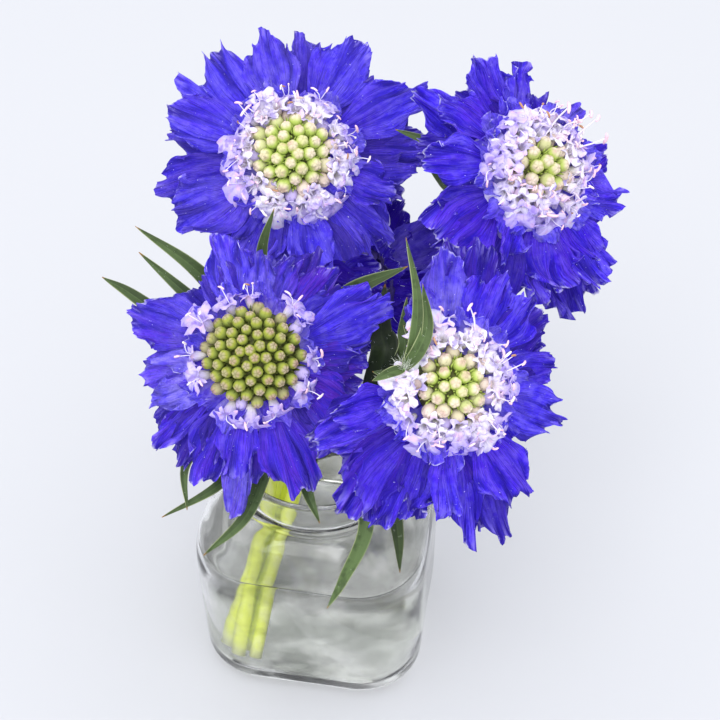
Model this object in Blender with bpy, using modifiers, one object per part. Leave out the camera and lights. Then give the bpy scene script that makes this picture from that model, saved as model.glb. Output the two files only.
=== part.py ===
# Five cut scabiosa flowers standing in a small square glass jar of water.
# Metres, +Z up. The origin is the centre of the jar's foot, and -Y is the side that the blooms face.
# Each bloom has a frame of its own: +Z out of its face, +Y its upper side, +X its right as it is seen.
# A clock angle runs clockwise round that face from its upper side.

import math
import random

import bmesh
import bpy
from mathutils import Matrix, Vector

MM = 0.001
GAP = 0.3 * MM
WELD = 0.01 * MM
FLAT = math.radians(0.5)

# Jar: a rounded square body under a round neck, turned a little about its axis.
JAR_TURN = math.radians(-10)
JAR_HALF_WIDTH = 35 * MM
JAR_CORNER = 20 * MM
JAR_BODY_HEIGHT = 50 * MM
SHOULDER_HEIGHT = 64 * MM
NECK_RADIUS = 25.2 * MM
MOUTH_HEIGHT = 76 * MM
WALL = 2.6 * MM
FLOOR_THICKNESS = 6 * MM
CORNER_POINTS = 5
WATER_LEVEL = 50 * MM

# Stems and leaves.
STEM_RADIUS = 1.9 * MM
SHOOT_RADIUS = 1.2 * MM
STEM_STEPS = 3
LEAF_THICKNESS = 0.8 * MM
LEAF_FOLD = 0.28
LEAF_FACING = Vector((0, -0.6, 0.8))
BRACT_COUNT = 8
BRACT_ROOT = 6 * MM
BRACT_WIDTH = 3.6 * MM
BRACT_HEIGHT = -2.9 * MM
BRACT_DROP = 0.42
RECEPTACLE_RADIUS = 8.5 * MM
RECEPTACLE_DEPTH = 9 * MM

# Ray florets: ruffled fans on narrow claws, set round a thin ring. RAY_COLUMNS pairs the number of
# strips across a fan with the least width in millimetres that gets it.
RAY_RING_RADIUS = 10.5 * MM
RAY_RING_HALF = 1.2 * MM
RAY_ROOT = 8 * MM
RAY_THICKNESS = 0.75 * MM
RAY_ROWS = (0.36, 0.68, 1.0)
RAY_CLAW = 0.26
RAY_FULL_WIDTH_AT = 0.7
RAY_TIP_TAPER = 0.08
RAY_ROUND_EDGE = 0.17
RAY_NOTCH = 0.09
RAY_RUFFLE = 0.12
RAY_WAVES = 1.2
RAY_WAVE_WIDTH = 11 * MM
RAY_LEVEL = 0.7 * MM
RAY_LIFT_POWER = 1.4
RAY_COLUMNS = [(7, 19), (5, 15), (4, 12), (3, 0)]

# Inner florets: small five-sided funnels, set round a disc above the ring.
DISC_BOTTOM = 1.6 * MM
DISC_TOP = 3.5 * MM
FLORET_LENGTH = 5.4 * MM
FLORET_MOUTH = 2.2 * MM
FLORET_HOLLOW = 1.0 * MM
FLORET_THROAT = 0.75 * MM
FLORET_SINK = 0.7 * MM
FLORET_CLEAR_OF_SHOOT = 34
RING_SIDES = 16

# Buds: five-sided pegs on a dome above the disc.
HEAD_BOTTOM = DISC_TOP + GAP
BUD_STAND = 1.7 * MM
BUD_SINK = 1.0 * MM
BUD_FOOT = 0.44
BUD_TOP = 0.34
BUD_SPLAY = 1.1
DOME_LEVELS = (0.15, 0.55, 0.85)
DOME_SIDES = 12
GOLDEN_ANGLE = math.radians(137.508)

# Where the stems stand: cut ends on the jar's floor, and their places in the neck.
CUT_HEIGHT = FLOOR_THICKNESS + 2.0 * MM
NECK_HEIGHT = 75 * MM

# The blooms, in millimetres and degrees: a to d stand at the front and top, and e lies low between them.
# rays: clock angle, reach, width and lift of the tip. florets: rows of count, ring radius and tilt outwards.
# disc and head: radii of the disc under the inner florets and of the dome of buds, which stands rise high.
# leaves: name, height on the stem, points up to the tip, and width. long_bracts: clock angle and reach.
# shoot: a side shoot's clock angle and radius, and its leaves' middles, tips and widths in the bloom's frame.
BLOOMS = {
    "a": {
        "seed": 16,
        "centre": (-6.9, 49.2, 143.2),
        "facing": (0.05, -0.70, 0.71),
        "cut_end": (-26.2, -17.6),
        "neck": (-9.5, 6.5),
        "route": [(-9.5, 31, 97), (-8.5, 51, 118.5), (-7.6, 58.5, 131)],
        "rays": [(350, 39, 16, 2), (30, 40, 17.5, -1.5), (64, 42, 16, 3), (90, 39, 17, -4),
                 (112, 31, 13, 1.5), (144, 35, 11, -4), (172, 34, 14, 2), (205, 35, 15, -3), (238, 38, 18, 2),
                 (266, 40, 14, -3), (292, 36.6, 16, 2), (308, 41, 11, -6), (326, 37, 18, -1)],
        "disc": 13.6,
        "florets": [(12, 13.4, 66), (7, 12.4, 32)],
        "head": 9.6,
        "rise": 6.2,
        "buds": 29,
        "leaves": [("tall_left", 86, [(-21, 18, 106), (-33, 20.8, 124), (-49.9, 26.3, 135.7)], 6.5),
                   ("low_left", 83, [(-21, 12.5, 101), (-32.8, 12, 119.5), (-47.7, 16.6, 134)], 6.5)],
        "bract_reach": 19,
        "long_bracts": [],
    },
    "b": {
        "seed": 24,
        "centre": (59.3, 36.6, 147.2),
        "facing": (0.36, -0.68, 0.64),
        "cut_end": (-21.6, -18.2),
        "neck": (-1.5, 6.5),
        "route": [(6, 23, 88), (16, 37, 98), (30, 50, 112), (46, 56, 127)],
        "rays": [(348, 31, 18, -1.5), (5, 26, 9, 2), (322, 30, 11, 2.5), (316, 38, 12, -5),
                 (292, 32, 13.5, 2), (253, 34, 22, -2), (222, 28, 7, 3), (196, 36, 13, -4), (164, 39, 16, 2),
                 (146, 35, 15, -3), (125, 32, 15, 1.5), (100, 31, 11, -3), (74, 25, 9, 1), (46, 22, 9, 2)],
        "disc": 12,
        "florets": [(11, 11.8, 62), (5, 10.4, 28)],
        "head": 7.4,
        "rise": 4.6,
        "buds": 17,
        "leaves": [("between", 126, [(39, 49, 133), (34.5, 46, 140), (31, 45.5, 147)], 5)],
        "bract_reach": 20,
        "long_bracts": [(306, 37)],
    },
    "c": {
        "seed": 16,
        "centre": (-15.4, -6.9, 116.8),
        "facing": (-0.03, -0.68, 0.73),
        "cut_end": (-24.6, -22.4),
        "neck": (-12.5, -1.5),
        "route": [(-14.2, 2.5, 89), (-15.4, 4.6, 100)],
        "rays": [(18, 29, 8, -1), (0, 27.5, 8.5, 3), (338, 34, 13, 1), (322, 25, 9, -3), (291, 36, 16, 1.5),
                 (264, 32, 11, -5), (268, 25, 6, 3), (240, 30, 9, 1.5), (229, 36.6, 8, -5),
                 (209, 37, 13, -1.5), (190, 31.5, 12, 3), (187, 43.6, 8, -6), (160, 38.4, 16, 1.5),
                 (138, 30, 9, -3), (114, 29, 12, 1), (92, 27.5, 11, -4), (69, 38, 16, 1.5), (41, 30, 11, -2)],
        "disc": 12.8,
        "florets": [(9, 12.6, 68)],
        "head": 11.2,
        "rise": 7.8,
        "buds": 36,
        "leaves": [("long", 78.6, [(-20, -11, 82), (-28, -21.5, 81), (-42.5, -27.6, 75.9)], 3.6),
                   ("pale", 86, [(-26, -7, 91), (-35.5, -17.9, 87.5), (-35.2, -27.6, 78.9)], 3.4),
                   ("far_left", 91, [(-32, 8, 107), (-49.4, 13, 120.9), (-58.6, 15.3, 126.5)], 4.5),
                   ("dark", 76.6, [(-14.5, -14, 80.5), (-19.3, -29, 77.5), (-30.3, -37.8, 72)], 6),
                   ("crossing", 90, [(-3, 11, 104), (9, 14.8, 120.5), (25.3, 14.1, 131.1)], 7),
                   ("upright", 97, [(-14.5, 16, 112), (-14.8, 20.7, 130), (-10.7, 21.3, 145.1)], 4.2)],
        "bract_reach": 19,
        "long_bracts": [(196, 34)],
    },
    "d": {
        "seed": 12,
        "centre": (34.8, -20.8, 119.3),
        "facing": (0.12, -0.72, 0.68),
        "cut_end": (-19.9, -22.8),
        "neck": (-4.5, -4.5),
        "route": [(4, -7, 86), (17, -9.5, 98), (28.5, -10.8, 106)],
        "rays": [(4, 35, 13, -1), (42, 31, 22, 2), (84, 30, 12, -3), (110, 30, 15, 1.5), (136, 24, 9, -2),
                 (153, 36, 17, 2), (174, 41.5, 9, -4), (191, 33, 8, 1.5), (215, 40, 22, -2),
                 (249, 35, 13, -3), (264, 30, 12, 2), (334, 27, 11, -4)],
        "disc": 11.2,
        "florets": [(11, 11, 64), (5, 9.9, 30)],
        "head": 7.8,
        "rise": 4.8,
        "buds": 19,
        "leaves": [("front_left", 82, [(-1.5, -16, 88), (-2.2, -25, 85.5), (1.4, -32.6, 79.3)], 5),
                   ("trailing", 87, [(11, -20, 91), (14, -33, 79), (8, -41.5, 67), (3.2, -44.4, 57.2)], 5.5),
                   ("front_right", 92, [(19, -22, 90), (22.3, -34, 79), (23.3, -39, 66.2)], 6),
                   ("behind", 93, [(18, 0, 101), (22.5, 8, 107), (20.5, 20, 119)], 9)],
        "bract_reach": 19,
        "long_bracts": [],
        "shoot": {
            "clock": 288,
            "radius": 14.6,
            "leaves": [((-9, 26, 12), (-5.5, 38, 8.5), 3.6), ((-5.5, 14, 11), (0.5, 21.5, 9.5), 5),
                       ((-17, 6, 10.5), (-22.5, 6, 9), 4)],
        },
    },
    "e": {
        "seed": 8,
        "centre": (7.9, 32.5, 108.2),
        "facing": (0.02, -0.70, 0.71),
        "cut_end": (-22.5, -13.2),
        "neck": (-5.5, 13),
        "route": [(1, 30, 86), (7, 41.5, 94)],
        "rays": [(8, 25, 13, 1.5), (34, 31, 15, -1.5), (57, 34, 15, 2), (81, 29, 13, -3), (105, 25, 12, 1.5),
                 (140, 23, 11.5, -2), (178, 22, 11.5, 1.5), (216, 20, 11, -2), (252, 19, 11, 1.5),
                 (288, 18, 10, -2), (326, 19, 11, 1.5)],
        "disc": 10,
        "florets": [(8, 9.8, 60)],
        "head": 6.4,
        "rise": 4.2,
        "buds": 10,
        "leaves": [],
        "bract_reach": 14,
        "long_bracts": [],
    },
}

COLOURS = {
    "glass": (0.86, 0.92, 0.90, 1),
    "water": (0.80, 0.88, 0.84, 1),
    "violet": (0.055, 0.025, 0.62, 1),
    "lilac": (0.78, 0.70, 0.90, 1),
    "bud": (0.42, 0.50, 0.16, 1),
    "leaf": (0.10, 0.24, 0.06, 1),
}


def clear_scene():
    for old in list(bpy.data.objects):
        bpy.data.objects.remove(old, do_unlink=True)


def make_collection(name):
    collection = bpy.data.collections.new(name)
    bpy.context.scene.collection.children.link(collection)
    return collection


def make_material(name, colour, roughness):
    material = bpy.data.materials.new(name)
    material.use_nodes = True
    shader = material.node_tree.nodes["Principled BSDF"]
    shader.inputs["Base Color"].default_value = colour
    shader.inputs["Roughness"].default_value = roughness
    shader.inputs["Metallic"].default_value = 0.0
    material.diffuse_color = colour
    return material


def add_object(name, mesh, collection, parent=None):
    made = bpy.data.objects.new(name, mesh)
    collection.objects.link(made)
    made.parent = parent
    return made


def finish(made, colour, roughness):
    made.data.materials.clear()
    made.data.materials.append(make_material(made.name, COLOURS[colour], roughness))


def mesh_from(work, name):
    bmesh.ops.recalc_face_normals(work, faces=work.faces)
    mesh = bpy.data.meshes.new(name)
    work.to_mesh(mesh)
    work.free()
    return mesh


def evaluated_mesh(source):
    bpy.context.view_layer.update()
    graph = bpy.context.evaluated_depsgraph_get()
    return bpy.data.meshes.new_from_object(source.evaluated_get(graph))


def smooth_path(route, steps):
    """Points on a smooth curve through the route, steps of them to each span."""
    ends = [route[0] * 2 - route[1]] + route + [route[-1] * 2 - route[-2]]
    path = []
    for span in range(len(route) - 1):
        before, start, end, after = ends[span:span + 4]
        for step in range(steps):
            u = step / steps
            path.append(0.5 * (2 * start + (end - before) * u
                               + (2 * before - 5 * start + 4 * end - after) * u ** 2
                               + (3 * start - before - 3 * end + after) * u ** 3))
    return path + [route[-1]]


def tube(name, path, radius, collection, roundness=1):
    """A round stem along a path, as a closed mesh."""
    curve = bpy.data.curves.new(name, "CURVE")
    curve.dimensions = "3D"
    curve.bevel_depth = radius
    curve.bevel_resolution = roundness
    curve.use_fill_caps = True
    spline = curve.splines.new("POLY")
    spline.points.add(len(path) - 1)
    for spot, place in zip(spline.points, path):
        spot.co = (*place, 1)
    guide = add_object(name + "_guide", curve, collection)
    work = bmesh.new()
    work.from_mesh(evaluated_mesh(guide))
    bmesh.ops.remove_doubles(work, verts=work.verts, dist=WELD)
    bpy.data.objects.remove(guide, do_unlink=True)
    return add_object(name, mesh_from(work, name), collection)


def stitch(work, near, far):
    """Triangles between two rows of points, which may differ in their count."""
    left, right = 0, 0
    while left < len(near) - 1 or right < len(far) - 1:
        lag = (left + 0.5) * (len(far) - 1) <= (right + 0.5) * (len(near) - 1)
        if right == len(far) - 1 or (left < len(near) - 1 and lag):
            work.faces.new((near[left], near[left + 1], far[right]))
            left += 1
        else:
            work.faces.new((near[left], far[right + 1], far[right]))
            right += 1


def sheet_solid(name, rows, thickness, collection):
    """A thin closed blade from rows of points, split into triangles before it gets its thickness."""
    work = bmesh.new()
    grid = [[work.verts.new(place) for place in row] for row in rows]
    for near, far in zip(grid, grid[1:]):
        stitch(work, near, far)
    sheet = add_object(name, mesh_from(work, name), collection)
    wall = sheet.modifiers.new("wall", "SOLIDIFY")
    wall.thickness = thickness
    wall.offset = 0
    solid = evaluated_mesh(sheet)
    bpy.data.objects.remove(sheet, do_unlink=True)
    work = bmesh.new()
    work.from_mesh(solid)
    return add_object(name, mesh_from(work, name), collection)


def turned(name, profile, sides, collection):
    """A solid turned round +Z: the profile is (radius, height) pairs, from top to bottom."""
    work = bmesh.new()
    rings = []
    for radius, height in profile:
        ring = []
        for side in range(sides):
            angle = 2 * math.pi * side / sides
            ring.append(work.verts.new((radius * math.cos(angle), radius * math.sin(angle), height)))
        rings.append(ring)
    bridge(work, rings)
    return add_object(name, mesh_from(work, name), collection)


def bridge(work, rings):
    """Join rings of equal count into a closed skin with a flat cap at each end, and give the last cap."""
    for near, far in zip(rings, rings[1:]):
        for side in range(len(near)):
            ahead = (side + 1) % len(near)
            work.faces.new((near[side], near[ahead], far[ahead], far[side]))
    work.faces.new(rings[0][::-1])
    return work.faces.new(rings[-1])


def drop_scraps(work):
    """Keep the largest body: this drops loose scraps and fills sealed hollows."""
    bodies = []
    left = set(work.verts)
    while left:
        body = [left.pop()]
        for spot in body:
            near = {edge.other_vert(spot) for edge in spot.link_edges} & left
            left -= near
            body.extend(near)
        bodies.append(body)
    bodies.sort(key=len)
    for body in bodies[:-1]:
        bmesh.ops.delete(work, geom=body, context="VERTS")


def unite(name, base, pieces, collection, parent=None):
    """One body from a base and a collection of pieces sunk into it."""
    union = base.modifiers.new("union", "BOOLEAN")
    union.operation = "UNION"
    union.solver = "MANIFOLD"
    union.operand_type = "COLLECTION"
    union.collection = pieces
    work = bmesh.new()
    work.from_mesh(evaluated_mesh(base))
    drop_scraps(work)
    bmesh.ops.dissolve_limit(work, angle_limit=FLAT, verts=work.verts, edges=work.edges)
    bmesh.ops.triangulate(work, faces=work.faces)
    body = mesh_from(work, name)
    for spent in list(pieces.objects) + [base]:
        bpy.data.objects.remove(spent, do_unlink=True)
    bpy.data.collections.remove(pieces)
    return add_object(name, body, collection, parent)


def bloom_frame(bloom):
    """The place of a bloom: its face along +Z, its upper side along +Y."""
    facing = Vector(bloom["facing"]).normalized()
    upper = (Vector((0, 0, 1)) - facing.z * facing).normalized()
    right = upper.cross(facing)
    turn = Matrix((right, upper, facing)).transposed().to_4x4()
    return Matrix.Translation(Vector(bloom["centre"]) * MM) @ turn


def on_face(clock, radius, height):
    """A point of a bloom's own frame, from its clock angle in radians."""
    return Vector((radius * math.sin(clock), radius * math.cos(clock), height))


def ease(value):
    value = min(1.0, max(0.0, value))
    return value * value * (3 - 2 * value)


def ray_floret(name, ray, draw, collection):
    """A fan on a narrow claw, with a cut edge and a ruffle that grows towards it."""
    clock, reach, width, lift = math.radians(ray[0]), ray[1] * MM, ray[2] * MM, ray[3] * MM
    columns = next(count for count, limit in RAY_COLUMNS if ray[2] >= limit)
    level = max(-RAY_LEVEL, min(RAY_LEVEL, lift))
    waves = RAY_WAVES + width / RAY_WAVE_WIDTH
    phase = draw.uniform(0, 2 * math.pi)
    claw_end = (RAY_RING_RADIUS + 0.5 * MM - RAY_ROOT) / (reach - RAY_ROOT)
    rows = []
    for s in (0.0, claw_end) + RAY_ROWS:
        row = []
        spans = 1 if s <= claw_end else columns
        spread = RAY_CLAW + (1 - RAY_CLAW) * ease(s / RAY_FULL_WIDTH_AT)
        for column in range(spans + 1):
            t = 2 * column / spans - 1
            notch = 0.0 if column % 2 else RAY_NOTCH
            rim = 1 - (RAY_ROUND_EDGE * t * t + notch) * s * s
            ruffle = RAY_RUFFLE * width * s * s * math.sin(waves * math.pi * t + phase)
            height = level + (lift - level) * s ** RAY_LIFT_POWER + ruffle
            along = RAY_ROOT + (reach - RAY_ROOT) * s * rim
            across = 0.5 * width * t * spread * (1 - RAY_TIP_TAPER * s ** 4)
            row.append(on_face(clock, along, height) + across * on_face(clock + math.pi / 2, 1, 0))
        rows.append(row)
    return sheet_solid(name, rows, RAY_THICKNESS, collection)


def ray_florets(key, bloom, collection, holder):
    draw = random.Random(bloom["seed"])
    pieces = make_collection("rays " + key)
    profile = [(RAY_RING_RADIUS, RAY_RING_HALF), (RAY_RING_RADIUS, -RAY_RING_HALF)]
    ring = turned("ring", profile, RING_SIDES, collection)
    for number, ray in enumerate(bloom["rays"]):
        ray_floret("ray_%d" % number, ray, draw, pieces)
    made = unite("bloom_%s_ray_florets" % key, ring, pieces, collection, holder)
    finish(made, "violet", 0.6)


def inner_floret(name, root, aim, collection):
    """A small five-sided funnel with a hollowed mouth."""
    work = bmesh.new()
    rings = []
    for radius, height in ((FLORET_THROAT, -FLORET_SINK), (FLORET_MOUTH, FLORET_LENGTH)):
        ring = []
        for corner in range(5):
            angle = 2 * math.pi * corner / 5
            ring.append(work.verts.new((radius * math.cos(angle), radius * math.sin(angle), height)))
        rings.append(ring)
    mouth = bridge(work, rings)
    mouth.normal_update()
    bmesh.ops.poke(work, faces=[mouth], offset=-FLORET_HOLLOW)
    work.transform(Matrix.Translation(root) @ aim.to_track_quat("Z", "Y").to_matrix().to_4x4())
    return add_object(name, mesh_from(work, name), collection)


def inner_florets(key, bloom, collection, holder):
    draw = random.Random(bloom["seed"])
    pieces = make_collection("inner " + key)
    edge = bloom["disc"] * MM
    disc = turned("disc", [(edge, DISC_TOP), (edge, DISC_BOTTOM)], RING_SIDES, collection)
    shoot = bloom.get("shoot")
    for row, (count, radius, tilt) in enumerate(bloom["florets"]):
        for number in range(count):
            clock = 2 * math.pi * (number + 0.5 * row + draw.uniform(-0.15, 0.15)) / count
            lean = math.radians(tilt + draw.uniform(-5, 5))
            apart = (math.degrees(clock) - shoot["clock"] + 180) % 360 - 180 if shoot else 180
            if abs(apart) < FLORET_CLEAR_OF_SHOOT:
                continue
            root = on_face(clock, (radius - 0.5) * MM, 0.5 * (DISC_TOP + DISC_BOTTOM))
            aim = on_face(clock, math.sin(lean), math.cos(lean))
            inner_floret("floret_%d_%d" % (row, number), root, aim, pieces)
    made = unite("bloom_%s_inner_florets" % key, disc, pieces, collection, holder)
    finish(made, "lilac", 0.6)


def buds(key, bloom, collection, holder):
    """A dome of buds on a sunflower spiral, the outer ones leaning out."""
    pieces = make_collection("buds " + key)
    radius, rise, count = bloom["head"] * MM, bloom["rise"] * MM, bloom["buds"]
    sphere = (radius * radius + rise * rise) / (2 * rise)
    profile = []
    for level in DOME_LEVELS:
        flat = radius * level
        profile.append((flat, HEAD_BOTTOM + rise - sphere + math.sqrt(sphere * sphere - flat * flat)))
    dome = turned("dome", profile + [(radius, HEAD_BOTTOM)], DOME_SIDES, collection)
    spacing = radius * math.sqrt(math.pi / count)
    for number in range(count):
        flat = (radius - 0.2 * spacing) * math.sqrt((number + 0.5) / count)
        lean = math.asin(flat / sphere) * BUD_SPLAY
        height = HEAD_BOTTOM + rise - sphere + math.sqrt(sphere * sphere - flat * flat)
        clock = number * GOLDEN_ANGLE
        aim = on_face(clock, math.sin(lean), math.cos(lean))
        work = bmesh.new()
        place = Matrix.Translation(on_face(clock, flat, height) + aim * 0.5 * (BUD_STAND - BUD_SINK))
        bmesh.ops.create_cone(work, cap_ends=True, segments=5, radius1=BUD_FOOT * spacing,
                              radius2=BUD_TOP * spacing, depth=BUD_STAND + BUD_SINK,
                              matrix=place @ aim.to_track_quat("Z", "Y").to_matrix().to_4x4())
        add_object("bud_%d" % number, mesh_from(work, "bud"), pieces)
    made = unite("bloom_%s_buds" % key, dome, pieces, collection, holder)
    finish(made, "bud", 0.55)


def blade(name, path, width, facing, fold, collection):
    """A leaf along a path: narrow at its foot, pointed, and folded up along its rib, or flat with no fold."""
    rows = []
    last = len(path) - 1
    for number, place in enumerate(path):
        s = number / last
        along = (path[min(number + 1, last)] - path[max(number - 1, 0)]).normalized()
        side = along.cross(facing).normalized()
        half = 0.5 * width * max(0.16, math.sin(math.pi * (0.06 + 0.94 * s) ** 0.8) ** 0.8)
        raised = place + fold * half * side.cross(along)
        edges = [raised - half * side, raised + half * side]
        rows.append([edges[0], place, edges[1]] if fold and number else edges)
    return sheet_solid(name, rows, LEAF_THICKNESS, collection)


def nearest(path, height):
    return min(path, key=lambda place: abs(place.z - height))


def stem_route(bloom):
    """From the cut end, through the neck and up to the back of the bloom."""
    frame = bloom_frame(bloom)
    route = [Vector((*bloom["cut_end"], CUT_HEIGHT / MM)) * MM]
    route.append(Vector((*bloom["neck"], NECK_HEIGHT / MM)) * MM)
    route += [Vector(place) * MM for place in bloom["route"]]
    route.append(frame @ Vector((0, 0, -RECEPTACLE_DEPTH - 1.5 * MM)))
    route.append(frame @ Vector((0, 0, -RECEPTACLE_DEPTH + 4 * MM)))
    return route


def bracts(bloom, frame, pieces):
    """Narrow green blades under the ray florets: an even ring of short ones, and the odd long one."""
    facing = frame.to_3x3() @ Vector((0, 0, 1))
    ring = [(360 * (number + 0.4) / BRACT_COUNT, bloom["bract_reach"]) for number in range(BRACT_COUNT)]
    for number, (clock, reach) in enumerate(ring + bloom["long_bracts"]):
        path = []
        for part in (0.0, 0.35, 0.7, 1.0):
            out = BRACT_ROOT + (reach * MM - BRACT_ROOT) * part
            drop = (out - BRACT_ROOT) * BRACT_DROP * (1 - 0.3 * part)
            path.append(frame @ on_face(math.radians(clock), out, BRACT_HEIGHT - drop))
        blade("bract_%d" % number, path, BRACT_WIDTH, facing, 0.0, pieces)


def side_shoot(bloom, frame, path, pieces):
    """A thin shoot that leaves the stem and comes up between two ray florets, with three small leaves."""
    shoot = bloom["shoot"]
    clock, radius = math.radians(shoot["clock"]), shoot["radius"] * MM
    top = frame @ on_face(clock, radius, 9.5 * MM)
    route = [nearest(path, 92 * MM), frame @ on_face(clock, radius + 4 * MM, -19 * MM),
             frame @ on_face(clock, radius, -6 * MM), top]
    tube("shoot", smooth_path(route, 3), SHOOT_RADIUS, pieces)
    facing = frame.to_3x3() @ Vector((0, 0, 1))
    for number, (middle, tip, width) in enumerate(shoot["leaves"]):
        route = [top - 1.0 * MM * facing, frame @ (Vector(middle) * MM), frame @ (Vector(tip) * MM)]
        blade("shoot_leaf_%d" % number, smooth_path(route, 3), width * MM, facing, LEAF_FOLD, pieces)


def leafy_stem(key, bloom, collection, cutters):
    frame = bloom_frame(bloom)
    pieces = make_collection("leaves " + key)
    path = smooth_path(stem_route(bloom), STEM_STEPS)
    stem = tube("stem_" + key, path, STEM_RADIUS, collection)
    dipped = [path[0] - 2 * GAP * (path[1] - path[0]).normalized()]
    dipped += [place for before, place in zip(path, path[1:]) if before.z < WATER_LEVEL + GAP]
    bore = tube("bore_" + key, dipped, STEM_RADIUS + 1.2 * GAP, cutters, 2)
    bore.hide_render = True
    bore.display_type = "WIRE"
    profile = [(RECEPTACLE_RADIUS, -RAY_RING_HALF - GAP), (RECEPTACLE_RADIUS, -3.2 * MM),
               (0.6 * RECEPTACLE_RADIUS, -5.6 * MM), (1.1 * STEM_RADIUS, -RECEPTACLE_DEPTH)]
    cup = turned("receptacle", profile, DOME_SIDES, pieces)
    cup.data.transform(frame)
    bracts(bloom, frame, pieces)
    for name, height, places, width in bloom["leaves"]:
        route = [nearest(path, height * MM)] + [Vector(place) * MM for place in places]
        blade(name, smooth_path(route, 2), width * MM, LEAF_FACING, LEAF_FOLD, pieces)
    if "shoot" in bloom:
        side_shoot(bloom, frame, path, pieces)
    made = unite("bloom_%s_leafy_stem" % key, stem, pieces, collection)
    finish(made, "leaf", 0.6)


def rounded_square(half, corner, height):
    """Points round a square with round corners; a circle where the corner equals the half width."""
    points = []
    for quarter in range(4):
        middle = Matrix.Rotation(JAR_TURN + quarter * math.pi / 2, 3, "Z")
        for number in range(CORNER_POINTS):
            angle = (number + 0.5) / CORNER_POINTS * math.pi / 2
            flat = half - corner
            spot = Vector((flat + corner * math.cos(angle), flat + corner * math.sin(angle), height))
            points.append(middle @ spot)
    return points


def loft(name, sections, collection):
    work = bmesh.new()
    rings = [[work.verts.new(place) for place in rounded_square(*section)] for section in sections]
    bridge(work, rings)
    return add_object(name, mesh_from(work, name), collection)


def inside_sections(shrink, floor):
    """Half width, corner radius and height of the jar's inside from its floor up to the neck."""
    half = JAR_HALF_WIDTH - WALL - shrink
    corner = JAR_CORNER - WALL - shrink
    return [(half - 3.5 * MM, corner - 1.5 * MM, floor),
            (half - 1.0 * MM, corner - 0.5 * MM, floor + 1.6 * MM),
            (half, corner, floor + 5 * MM), (half, corner, JAR_BODY_HEIGHT)]


def jar(collection):
    half, corner = JAR_HALF_WIDTH, JAR_CORNER
    neck, top = NECK_RADIUS, MOUTH_HEIGHT
    outside = [(half - 5.5 * MM, corner - 3.5 * MM, 0), (half - 2.2 * MM, corner - 1.5 * MM, 1.4 * MM),
               (half - 0.6 * MM, corner - 0.4 * MM, 4 * MM), (half, corner, 8 * MM),
               (half, corner, JAR_BODY_HEIGHT), (half - 1.2 * MM, corner, JAR_BODY_HEIGHT + 6 * MM),
               (half - 4.2 * MM, corner + 1.5 * MM, JAR_BODY_HEIGHT + 10.5 * MM),
               (neck + 2.2 * MM, neck, SHOULDER_HEIGHT - 1.2 * MM), (neck, neck, SHOULDER_HEIGHT),
               (neck + 1.6 * MM, neck + 1.6 * MM, SHOULDER_HEIGHT + 1.6 * MM),
               (neck + 1.6 * MM, neck + 1.6 * MM, SHOULDER_HEIGHT + 3 * MM),
               (neck, neck, SHOULDER_HEIGHT + 4.4 * MM), (neck, neck, top - 0.8 * MM),
               (neck - 0.8 * MM, neck - 0.8 * MM, top)]
    bore = neck - WALL
    inside = [(bore + 0.8 * MM, bore + 0.8 * MM, top), (bore, bore, top - 0.8 * MM),
              (bore, bore, SHOULDER_HEIGHT), (half - WALL - 5.5 * MM, corner, JAR_BODY_HEIGHT + 8.5 * MM),
              (half - WALL - 1.5 * MM, corner - WALL, JAR_BODY_HEIGHT + 5 * MM)]
    inside += reversed(inside_sections(0, FLOOR_THICKNESS))
    made = loft("jar", outside + inside, collection)
    finish(made, "glass", 0.05)


def water(collection, cutters):
    made = loft("water", inside_sections(GAP, FLOOR_THICKNESS + GAP), collection)
    cut = made.modifiers.new("stem_holes", "BOOLEAN")
    cut.operation = "DIFFERENCE"
    cut.operand_type = "COLLECTION"
    cut.collection = cutters
    finish(made, "water", 0.02)


def build():
    clear_scene()
    flowers = make_collection("scabiosa_in_jar")
    cutters = make_collection("cutters")
    jar(flowers)
    for key, bloom in BLOOMS.items():
        holder = add_object("bloom_%s_holder" % key, None, flowers)
        holder.matrix_world = bloom_frame(bloom)
        ray_florets(key, bloom, flowers, holder)
        inner_florets(key, bloom, flowers, holder)
        buds(key, bloom, flowers, holder)
        leafy_stem(key, bloom, flowers, cutters)
    water(flowers, cutters)


build()
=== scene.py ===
# Scabiosa flowers in a square glass jar of water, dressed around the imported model.
# Lengths are in metres. The blooms face -Y, and the jar's foot is centred on the origin.

import math
import random

import bmesh
import bpy
import numpy as np
from mathutils import Matrix, Vector


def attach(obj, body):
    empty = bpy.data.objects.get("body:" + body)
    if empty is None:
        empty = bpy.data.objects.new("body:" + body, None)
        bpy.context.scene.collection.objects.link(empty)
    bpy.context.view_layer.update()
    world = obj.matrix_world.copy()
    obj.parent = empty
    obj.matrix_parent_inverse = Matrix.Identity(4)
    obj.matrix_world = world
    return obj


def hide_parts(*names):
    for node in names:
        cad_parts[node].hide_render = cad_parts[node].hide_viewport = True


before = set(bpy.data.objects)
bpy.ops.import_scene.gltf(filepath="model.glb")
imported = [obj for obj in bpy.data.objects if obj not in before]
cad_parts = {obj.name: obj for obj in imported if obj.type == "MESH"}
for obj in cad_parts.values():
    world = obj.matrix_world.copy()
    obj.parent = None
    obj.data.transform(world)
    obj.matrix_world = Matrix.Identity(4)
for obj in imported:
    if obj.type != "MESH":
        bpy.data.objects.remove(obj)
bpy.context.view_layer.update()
print("frame loaded,", len(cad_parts), "nodes")

mm = 0.001
goldenAngle = math.radians(137.508)

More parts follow.
